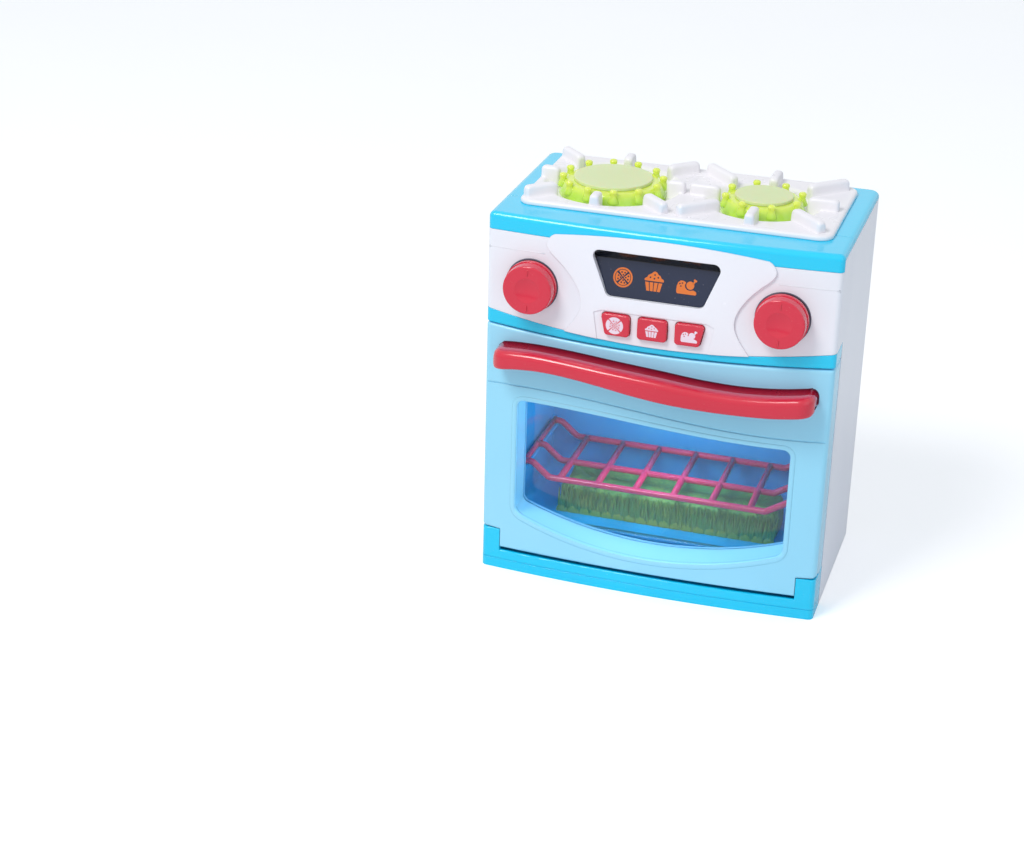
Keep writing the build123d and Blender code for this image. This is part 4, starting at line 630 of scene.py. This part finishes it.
lip_rings = []
for grow, depth in ((5.2, 22.76), (5.2, 22.5), (0.4, 22.5), (-0.1, 22.8), (-0.2, 23.3), (-0.2, 26.2),
                    (0.03, 26.2), (0.03, 22.76), (5.2, 22.76)):
    outline = rounded_ring(MOUTH_HALF + grow, MOUTH_LOW - grow, MOUTH_HIGH + grow,
                           MOUTH_CORNER + grow, 8)
    lip_rings.append([(x, FRONT + depth, z) for x, z in outline])
solid("oven_mouth_lip", *skin_rings(lip_rings, cap=False), blue, "oven", "liner")

lamp, lamp_tree, lamp_shader = new_material("Lamp clear")
lamp_cloud = noise(lamp_tree, put(lamp_tree, "TexCoord").outputs["Object"], 300.0)
lamp_tree.links.new(
    blend_colour(lamp_tree, lamp_cloud, tone("F3EFE2"), tone("FFFBEF")),
    lamp_shader.inputs["Base Color"])
lamp_tree.links.new(span(lamp_tree, lamp_cloud, 0.2, 0.8, 0.08, 0.2, "LINEAR"),
                    lamp_shader.inputs["Roughness"])
lamp_shader.inputs["Transmission Weight"].default_value = 0.7
dress(lamp, "oven_lamp", "display_lamps", "burner_lamps")

# Crimson rack of round rods, moulded in one: three rails that dip between their raised ends, six
# bars across them, and two side rods that lie on the liner's ledges.
crimson = plastic("Rack crimson", "E4245A", "D21A4A", coat=0.3, mottle=0.3, gloss_roughness=0.2,
                  rubs=0.3, grain=0.2, edge_radius=0.0002, edge_light=0.0)


def tube(route, radius, sides=14):
    """Rings of a round rod along a route."""
    rings = []
    last = len(route) - 1
    for index, point in enumerate(route):
        ahead = Vector(route[min(last, index + 1)]) - Vector(route[max(0, index - 1)])
        ahead.normalize()
        across = ahead.cross(Vector((0, 0, 1)) if abs(ahead.z) < 0.9 else Vector((0, 1, 0)))
        across.normalize()
        up = across.cross(ahead)
        rings.append([tuple(Vector(point) + radius * (
            across * cos(2 * pi * k / sides) + up * sin(2 * pi * k / sides)))
            for k in range(sides)])
    return rings


def rounded_route(corners, radius, steps=7):
    """Corners joined by straight runs and round bends."""
    route = [Vector(corners[0])]
    for before, corner, after in zip(corners, corners[1:], corners[2:]):
        corner = Vector(corner)
        back = (Vector(before) - corner).normalized()
        on = (Vector(after) - corner).normalized()
        turn = back.angle(on)
        reach = radius / max(0.05, sin(turn / 2)) * cos(turn / 2)
        start, end = corner + back * reach, corner + on * reach
        route += [Vector(spot) for spot in bend(start, corner, end, steps)]
    route.append(Vector(corners[-1]))
    return [tuple(point) for point in route]


rack_points, rack_faces = [], []
RACK_HIGH, RACK_LOW = 66.0, 56.3
RACK_DEPTHS = (29.0, 57.0, 97.0)
RACK_SIDE = 90.5
RAIL_RADIUS, BAR_RADIUS, SIDE_RADIUS = 2.15, 2.2, 1.75
BAR_PITCH, BAR_SHIFT = 25.3, -3.5
rods = []
for depth in RACK_DEPTHS:
    y = FRONT + depth
    rods.append(tube(rounded_route(
        [(-RACK_SIDE, y, RACK_HIGH), (-85.5, y, RACK_HIGH), (-74.0, y, RACK_LOW), (70.0, y, RACK_LOW),
         (85.5, y, RACK_HIGH), (RACK_SIDE, y, RACK_HIGH)], 5.5), RAIL_RADIUS))
for step in range(6):
    x = (step - 2.5) * BAR_PITCH + BAR_SHIFT
    rods.append(tube([(x, FRONT + depth, RACK_LOW) for depth in (29.0, 63.0, 97.0)], BAR_RADIUS))
for side in (-1, 1):
    rods.append(tube([(side * RACK_SIDE, FRONT + depth, RACK_HIGH) for depth in (26.2, 63.0, 99.8)],
                     SIDE_RADIUS))
for rings in rods:
    points, faces = skin_rings(rings)
    base = len(rack_points)
    rack_points += points
    rack_faces += [tuple(base + k for k in face) for face in faces]
rack = solid("oven_rack_rods", rack_points, rack_faces, crimson, "oven", "rack")
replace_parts(rack, "oven_rack")

# Green bed of garnish on the oven's floor: one soft moulding with a lumpy top, blades of grass up
# its front, and a scalloped fringe in a yellower green along its foot.
green, green_tree, green_shader = new_material("Garnish green")
green_place = put(green_tree, "TexCoord").outputs["Object"]
blades = noise(green_tree, green_place, 260.0, 4.0, 0.65, (2.4, 2.4, 0.35))
leaf = noise(green_tree, green_place, 60.0, 3.0, 0.6)
leaf_colour = blend_colour(green_tree, span(green_tree, blades, 0.32, 0.68), tone("3F7A3A"),
                           tone("8FB04E"))
green_tree.links.new(
    blend_colour(green_tree, span(green_tree, leaf, 0.4, 0.65), leaf_colour, tone("5E9A4C")),
    green_shader.inputs["Base Color"])
green_tree.links.new(span(green_tree, blades, 0.3, 0.7, 0.4, 0.62, "LINEAR"),
                     green_shader.inputs["Roughness"])
green_tree.links.new(put(green_tree, "Bump", {
    "Height": blades, "Strength": 0.6, "Distance": 0.0008}).outputs["Normal"],
    green_shader.inputs["Normal"])


def ripple(turn, seed):
    """A steady uneven ripple, from a sum of waves."""
    return (sin(turn * 17 + seed) + 0.6 * sin(turn * 41 + 2.3 * seed)
            + 0.45 * sin(turn * 73 + seed)) / 2


garnish_rings = []
around = 260
bed_x, bed_y, bed_low, bed_high = 73.5, 21.0, 28.05, 46.9
bed_middle = FRONT + 60.0
for inset, rise in ((1.2, 0.0), (0.3, 0.06), (0.0, 0.3), (0.3, 0.62), (0.9, 0.86), (2.4, 0.98),
                    (5.0, 0.94), (9.0, 1.0), (14.0, 0.92), (19.0, 0.98)):
    ring = []
    for step in range(around):
        turn = 2 * pi * step / around
        power = 2 / 9
        ex = (abs(cos(turn)) ** power) * (1 if cos(turn) > 0 else -1)
        ey = (abs(sin(turn)) ** power) * (1 if sin(turn) > 0 else -1)
        flute = 0.55 * ripple(turn, 1.0) if rise > 0.01 else 0.8 * ripple(turn, 1.0)
        x = 2.5 + ex * (bed_x - inset - 1.0 + flute)
        y = bed_middle + ey * (bed_y - min(inset, bed_y - 1.5) - 1.0 + flute)
        lump = 0.9 * ripple(turn + inset * 0.37, 2.0 + inset) if rise > 0.8 else 0.0
        ring.append((x, y, min(bed_low + (bed_high - bed_low) * rise + lump, 48.0)))
    garnish_rings.append(ring)
garnish_points, garnish_faces = skin_rings(garnish_rings)
BLADES, BLADES_LEFT, BLADES_RUN = 190, -69.5, 144.0
BLADE_FOOT = 29.5
for step in range(BLADES):
    x = BLADES_LEFT + BLADES_RUN * step / (BLADES - 1) + 0.5 * sin(step * 7.3)
    front = bed_middle - bed_y + 0.7 + 0.5 * sin(step * 3.9)
    high = 44.5 + 2.2 * sin(step * 1.7) + 1.2 * sin(step * 5.1)
    lean = 2.6 * sin(step * 2.9) + 1.2 * sin(step * 0.6)
    base = len(garnish_points)
    for share, half, out in ((0.0, 0.75, 0.0), (0.35, 0.8, -0.7), (0.7, 0.6, -0.8),
                             (0.92, 0.35, -0.2), (1.0, 0.08, 0.5)):
        middle_x, z = x + lean * share ** 1.5, BLADE_FOOT + (high + 0.6 - BLADE_FOOT) * share
        garnish_points += [(middle_x - half, front + out + 0.5, z), (middle_x, front + out - 0.3, z),
                           (middle_x + half, front + out + 0.5, z)]
    for row in range(4):
        for side in range(2):
            a = base + row * 3 + side
            garnish_faces.append((a, a + 1, a + 4, a + 3))
garnish = solid("garnish_leaves", garnish_points, garnish_faces, green, "oven", "garnish")
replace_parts(garnish, "garnish_bed")

fringe_points, fringe_faces = [], []
LOBES, LOBES_LEFT, LOBE_PITCH = 19, -67.5, 7.75
for lobe in range(LOBES):
    middle_x = LOBES_LEFT + LOBE_PITCH * lobe
    base = len(fringe_points)
    for radius, out in ((0.05, -0.9), (2.2, -0.85), (3.3, -0.7), (3.9, -0.3), (4.0, 0.5)):
        for k in range(13):
            swing = pi * k / 12
            fringe_points.append((middle_x + radius * cos(swing), bed_middle - bed_y + out + 0.6,
                                  bed_low + radius * 1.15 * sin(swing)))
    for row in range(4):
        for k in range(12):
            a = base + row * 13 + k
            fringe_faces.append((a, a + 1, a + 14, a + 13))
leaf_lime = plastic("Garnish edge lime", "93AC46", "7D9C3E", mottle=0.8, gloss_roughness=0.4,
                    rubs=0.2, grain=0.6, edge_radius=0.0003, edge_light=0.1)
solid("garnish_fringe", fringe_points, fringe_faces, leaf_lime, "oven", "garnish")

# ---------------------------------------------------------------- hob tray
# White tray that rests on the deck, with a dish sunk round each burner. Sixteen arms moulded
# with it, level on top and blunt at the ends, stand round the burners to carry a pan.
DISH_LOW = 241.5
TRAY_TOP = 247.7
TRAY_HALF, TRAY_FRONT, TRAY_REAR, TRAY_CORNER = 98.0, -46.3, 55.8, 9.0
BURNER_Y = FRONT + 70.2
BURNERS = ((-50.2, 34.2), (46.6, 26.8))  # place and crown's radius, left and right
tray_white = plastic("Tray white", "F6F2F6", "EBE5EB", coat=0.1, mottle=0.35, gloss_roughness=0.28,
                     rubs=0.3, grain=0.3, edge_radius=0.0005, edge_light=0.1)


def tray_ring(inset, z):
    """Rounded rectangle round the tray, drawn in by inset."""
    outline = rounded_ring(TRAY_HALF - inset, TRAY_FRONT + inset, TRAY_REAR - inset,
                           max(0.8, TRAY_CORNER - inset), 12)
    return [(x, y, z) for x, y in outline]


def turned(x, profile, sides=120):
    """Rings turned round a burner's middle, from (radius, height) points."""
    return [[(x + radius * cos(2 * pi * k / sides), BURNER_Y + radius * sin(2 * pi * k / sides),
              height) for k in range(sides)] for radius, height in profile]


tray_points, tray_faces = [], []


def add_rings(rings, closed=True, cap=True):
    """Adds one skin of rings to the tray."""
    points, faces = skin_rings(rings, closed, cap)
    base = len(tray_points)
    tray_points.extend(points)
    tray_faces.extend(tuple(base + k for k in face) for face in faces)
    return range(len(tray_points) - len(rings[-1]), len(tray_points))


edges_to_fill = []
border = add_rings([tray_ring(*spot) for spot in (
    (5.4, 245.9), (1.8, 245.9), (1.8, 244.45), (0.4, 244.45), (0.1, 244.6), (0.0, 245.0),
    (0.0, 245.7), (0.15, 246.5), (0.6, 247.1), (1.2, 247.5), (2.0, 247.7), (2.6, 247.7))], cap=False)
edges_to_fill.append(list(border))
for burner_x, crown_radius in BURNERS:
    foot = crown_radius + 2.4
    lip = add_rings(turned(burner_x, (
        (0.5, DISH_LOW), (foot - 1.0, DISH_LOW), (foot, DISH_LOW + 0.15), (foot + 0.9, DISH_LOW + 0.7),
        (foot + 3.6, DISH_LOW + 3.1), (foot + 6.3, DISH_LOW + 5.4), (foot + 7.1, TRAY_TOP - 0.2),
        (foot + 7.9, TRAY_TOP), (foot + 8.3, TRAY_TOP))), cap=False)
    edges_to_fill.append(list(lip))


def arm_section(half, foot, top, radius):
    """Section across an arm with rounded shoulders and a spread foot: (across, height) points."""
    slim = half * 0.9
    radius = min(radius, slim * 0.98, (top - foot) * 0.8)
    right = [(half + 1.1, foot - 0.8), (half + 0.7, foot + 0.1), (half + 0.2, foot + 0.6),
             (half, foot + 1.4), ((half + slim) / 2, (foot + top) / 2)]
    for step in range(6):
        swing = pi / 2 * step / 5
        right.append((slim - radius + radius * cos(swing), top - radius + radius * sin(swing)))
    return [(-across, height) for across, height in right] + right[::-1]


def ease(share):
    """Goes from 0 to 1 on a quarter circle."""
    share = max(0.0, min(1.0, share))
    return sqrt(1 - (1 - share) ** 2)


def arm(x, turn, near, reach, foot_radius):
    """One arm, from near the crown out to its reach."""
    heading = Vector((cos(radians(turn)), sin(radians(turn)), 0))
    across = Vector((-heading.y, heading.x, 0))
    length = reach - near
    corner = 1.9
    spots = [corner * (1 - cos(pi / 2 * step / 5)) for step in range(6)]
    spots += [corner + (length - 2 * corner) * step / 14 for step in range(1, 14)]
    spots += [length - corner * (1 - sin(pi / 2 * step / 5)) for step in range(6)]
    rings = []
    for along in spots:
        end = min(along, length - along)
        half = 3.2 - corner * (1 - ease(end / corner)) * 0.95
        top = 13.2 - 2.8 * (1 - ease(along / 4.6)) - 2.0 * (1 - ease((length - along) / 3.0))
        foot = max(0.0, min(1.0, (near + along - foot_radius) / 7.2)) * (TRAY_TOP - DISH_LOW)
        rings.append([
            (x + heading.x * (near + along) + across.x * side,
             BURNER_Y + heading.y * (near + along) + across.y * side, DISH_LOW + height)
            for side, height in arm_section(half, foot, top, 2.1)])
    add_rings(rings)


for burner_x, crown_radius in BURNERS:
    for step in range(8):
        near, reach = (crown_radius + 6.4, 63.0) if step % 2 else (crown_radius + 0.8, 47.0)
        arm(burner_x, 45 * step, near, reach, crown_radius + 2.4)

work = bmesh.new()
corners = [work.verts.new((x * mm, y * mm, z * mm)) for x, y, z in tray_points]
for face in tray_faces:
    work.faces.new([corners[k] for k in face])
rims = []
for loop in edges_to_fill:
    for a, b in zip(loop, loop[1:] + loop[:1]):
        pair = (corners[a], corners[b])
        rims.append(work.edges.get(pair) or work.edges.new(pair))
bmesh.ops.triangle_fill(work, use_beauty=True, edges=rims, normal=(0, 0, 1))
bmesh.ops.recalc_face_normals(work, faces=work.faces)
for face in work.faces:
    face.smooth = True
tray_mesh = bpy.data.meshes.new("hob_tray_and_arms")
work.to_mesh(tray_mesh)
work.free()
tray_mesh.materials.append(tray_white)
tray = bpy.data.objects.new("hob_tray_and_arms", tray_mesh)
bpy.context.scene.collection.objects.link(tray)
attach(tray, "oven")
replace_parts(tray, "hob_tray")

# ---------------------------------------------------------------- burners
# Translucent lime crown with a ring of pegs round its shoulder, like a gas ring's flames, and a
# pale green cap pressed into its middle. A lamp sits under each; the crown's faint lime glow is painted
# light, an emission of its own.
lime, lime_tree, lime_shader = new_material("Burner lime")
lime_skin = skin(lime_tree, lime_shader, "C0E654", "AEDB4A", mottle=0.6, gloss_roughness=0.14,
                 rubs=0.25, grain=0.2, edge_radius=0.0004, edge_light=0.2)
lime_height = put(lime_tree, "SeparateXYZ", {
    "Vector": put(lime_tree, "TexCoord").outputs["Object"]}).outputs["Z"]
lime_tree.links.new(
    blend_colour(lime_tree, span(lime_tree, lime_height, 0.2450, 0.2525),
                 lime_skin.outputs["Colour"], tone("E4EC66")),
    lime_shader.inputs["Base Color"])
lime_shader.inputs["Subsurface Weight"].default_value = 0.55
lime_shader.inputs["Subsurface Radius"].default_value = (0.9, 1.0, 0.25)
lime_shader.inputs["Subsurface Scale"].default_value = 0.003
lime_shader.inputs["Transmission Weight"].default_value = 0.15
lime_shader.inputs["Coat Weight"].default_value = 0.4
# Painted glow: the crown gives off a faint lime light of its own.
lime_shader.inputs["Emission Color"].default_value = tone("B8E040")
lime_shader.inputs["Emission Strength"].default_value = 0.12
lime_shader.inputs["Coat Roughness"].default_value = 0.06


PEG_SCALE = 1.12  # a peg's width against its profile


def crown(name, x, radius, pegs, offset):
    """A crown with its pegs."""
    shoulder = radius - 2.6
    profile = [(8.2, 7.6), (8.2, 9.0), (8.5, 9.2), (shoulder - 4.0, 9.2), (shoulder - 2.8, 9.05),
               (shoulder - 1.4, 8.5), (shoulder - 0.5, 7.6), (shoulder + 0.1, 6.4), (radius - 1.0, 2.6),
               (radius - 0.1, 0.5), (radius - 0.3, 0.12), (radius - 1.5, 0.12), (radius - 2.8, 3.0),
               (shoulder - 2.0, 6.4), (shoulder - 3.2, 7.6)]
    rings = turned(x, [(r, DISH_LOW + h) for r, h in profile])
    points, faces = skin_rings(rings, cap=False)
    count = len(rings[0])
    last = (len(profile) - 1) * count
    for k in range(count):
        faces.append((last + k, last + (k + 1) % count, (k + 1) % count, k))
    peg_profile = [(0.02, 3.5), (2.3, 3.5), (3.0, 3.8), (3.1, 4.5), (2.8, 5.7), (2.25, 7.0),
                   (1.85, 8.2), (1.8, 9.0), (2.05, 9.9), (2.2, 10.7), (2.1, 11.5), (1.6, 12.1),
                   (0.85, 12.36), (0.02, 12.4)]
    for step in range(pegs):
        turn = radians(360 * step / pegs + offset)
        px = x + (radius - 2.6) * cos(turn)
        py = BURNER_Y + (radius - 2.6) * sin(turn)
        rings = [[(px + PEG_SCALE * r * cos(pi * k / 10), py + PEG_SCALE * r * sin(pi * k / 10),
                   DISH_LOW + h)
                  for k in range(20)] for r, h in peg_profile]
        peg_points, peg_faces = skin_rings(rings)
        base = len(points)
        points += peg_points
        faces += [tuple(base + k for k in face) for face in peg_faces]
    return solid(name, points, faces, lime, "oven", "lime")


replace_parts(crown("left_ring_and_pegs", *BURNERS[0], 12, 15), "burner_left_crown")
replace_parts(crown("right_ring_and_pegs", *BURNERS[1], 8, 22.5), "burner_right_crown")

pale_lime, cap_tree, cap_shader = new_material("Cap pale lime")
skin(cap_tree, cap_shader, "DEE8B3", "D2DFA2", mottle=0.4, gloss_roughness=0.38, rubs=0.4,
     grain=0.4, edge_radius=0.0004, edge_light=0.2)
cap_shader.inputs["Subsurface Weight"].default_value = 0.3
cap_shader.inputs["Subsurface Scale"].default_value = 0.002
dress(pale_lime, "burner_left_cap", "burner_right_cap")

# ---------------------------------------------------------------- electrics and the back
# Green circuit board with its key switches behind the panel, a black speaker and slide switch on
# the rear wall, and three cells in a white box behind a ribbed cover.
board, board_tree, board_shader = new_material("Circuit board green")
board_place = put(board_tree, "TexCoord").outputs["Object"]
track = put(board_tree, "TexBrick", {
    "Vector": put(board_tree, "Mapping", {"Vector": board_place, "Rotation": (pi / 2, 0, 0)}).outputs[0],
    "Color1": tone("2C7A4B"), "Color2": tone("2C7A4B"), "Mortar": tone("4FA06B"), "Scale": 60.0,
    "Mortar Size": 0.012})
board_tree.links.new(track.outputs["Color"], board_shader.inputs["Base Color"])
board_tree.links.new(span(board_tree, noise(board_tree, board_place, 400.0), 0.3, 0.7, 0.3, 0.5),
                     board_shader.inputs["Roughness"])
dress(board, "circuit_board")
black = plastic("Works black", "1C1E22", "292C31", mottle=0.5, gloss_roughness=0.45, rubs=0.5,
                grain=0.6, edge_radius=0.0003, edge_light=0.3)
dress(black, "key_switches", "speaker", "power_switch_body", "power_switch_slider")

sleeve, sleeve_tree, sleeve_shader = new_material("Cell sleeve")
sleeve_place = put(sleeve_tree, "TexCoord").outputs["Object"]
sleeve_x = put(sleeve_tree, "SeparateXYZ", {"Vector": sleeve_place}).outputs["X"]
band = span(sleeve_tree, sleeve_x, 0.0080, 0.0082)
sleeve_tree.links.new(blend_colour(sleeve_tree, band, tone("2E4B66"), tone("B98F3C")),
                      sleeve_shader.inputs["Base Color"])
sleeve_tree.links.new(span(sleeve_tree, noise(sleeve_tree, sleeve_place, 500.0), 0.3, 0.7, 0.25, 0.4),
                      sleeve_shader.inputs["Roughness"])
sleeve_shader.inputs["Metallic"].default_value = 0.6
dress(sleeve, "batteries")

# ---------------------------------------------------------------- floor, light and camera
# Plain white table that keeps the oven's soft shadow, a white room, one large soft lamp from above
# the front left, a weaker one from the right, and a small hidden one that lights the oven's inside.
floor_material, floor_tree, floor_shader = new_material("Table white")
floor_place = put(floor_tree, "TexCoord").outputs["Object"]
floor_tree.links.new(
    blend_colour(floor_tree, noise(floor_tree, floor_place, 6.0), tone("F4F4F5"), tone("F1F1F3")),
    floor_shader.inputs["Base Color"])
floor_shader.inputs["Roughness"].default_value = 0.7
floor_glow = put(floor_tree, "Emission", {"Color": (1, 1, 1, 1), "Strength": 0.36})
floor_sum = put(floor_tree, "AddShader", {0: floor_shader.outputs[0], 1: floor_glow.outputs[0]})
floor_path = put(floor_tree, "LightPath")
floor_seen = figure(floor_tree, "MAXIMUM", floor_path.outputs["Is Camera Ray"],
                    floor_path.outputs["Is Transmission Ray"])
floor_mix = put(floor_tree, "MixShader", {
    0: floor_seen, 1: floor_shader.outputs[0], 2: floor_sum.outputs[0]})
floor_tree.links.new(floor_mix.outputs[0], floor_tree.nodes["Material Output"].inputs["Surface"])
floor_mesh = bpy.data.meshes.new("table")
floor_mesh.from_pydata([(-6, -6, 0), (6, -6, 0), (6, 6, 0), (-6, 6, 0)], [], [(0, 1, 2, 3)])
floor_mesh.materials.append(floor_material)
table = bpy.data.objects.new("table", floor_mesh)
bpy.context.scene.collection.objects.link(table)

world = bpy.data.worlds.new("White room")
bpy.context.scene.world = world
world.use_nodes = True
sky = world.node_tree
sky_light = sky.nodes["Background"]
sky_light.inputs["Color"].default_value = (0.86, 0.93, 1.0, 1)
sky_light.inputs["Strength"].default_value = 0.58
sky_seen = put(sky, "Background", {"Color": (1, 1, 1, 1), "Strength": 1.0})
sky_path = put(sky, "LightPath")
sky_ways = figure(sky, "MAXIMUM", sky_path.outputs["Is Camera Ray"],
                  sky_path.outputs["Is Glossy Ray"])
sky_ways = figure(sky, "MAXIMUM", sky_ways, sky_path.outputs["Is Transmission Ray"])
sky_mix = put(sky, "MixShader", {0: sky_ways, 1: sky_light.outputs[0], 2: sky_seen.outputs[0]})
sky.links.new(sky_mix.outputs[0], sky.nodes["World Output"].inputs["Surface"])


def lamp_at(name, place, aim, size, power, colour=(1, 1, 1)):
    """A square soft lamp that looks at a point."""
    light = bpy.data.lights.new(name, "AREA")
    light.size = size
    light.energy = power
    light.color = colour
    fitting = bpy.data.objects.new(name, light)
    fitting.location = place
    fitting.rotation_euler = (Vector(aim) - Vector(place)).to_track_quat("-Z", "Y").to_euler()
    bpy.context.scene.collection.objects.link(fitting)


lamp_at("key_lamp", (-0.55, -1.0, 1.55), (0, 0, 0.12), 0.6, 16.0, (1, 0.99, 0.97))
lamp_at("fill_lamp", (1.3, -0.7, 0.6), (0, 0, 0.12), 1.2, 2.0, (0.8, 0.9, 1.0))

glow = bpy.data.lights.new("oven_glow", "POINT")
glow.energy = 0.17
glow.color = (0.85, 0.95, 1.0)
glow.shadow_soft_size = 0.02
glow_fitting = bpy.data.objects.new("oven_glow", glow)
glow_fitting.location = (0, -0.03, 0.104)
glow_fitting.visible_camera = False
glow_fitting.visible_glossy = False
glow_fitting.visible_transmission = False
bpy.context.scene.collection.objects.link(glow_fitting)

camera_data = bpy.data.cameras.new("camera")
camera_data.lens = 76.87
camera_data.sensor_width = 36.0
camera_data.clip_start = 0.05
camera = bpy.data.objects.new("camera", camera_data)
turn = (Matrix.Rotation(radians(17.0), 3, "Z") @ Matrix.Rotation(radians(90 - 24.53), 3, "X")
        @ Matrix.Rotation(radians(1.498), 3, "Z"))
camera.matrix_world = Matrix.Translation((0.27855, -1.27639, 0.68263)) @ turn.to_4x4()
bpy.context.scene.collection.objects.link(camera)
bpy.context.scene.camera = camera
bpy.context.scene.view_settings.view_transform = "Standard"
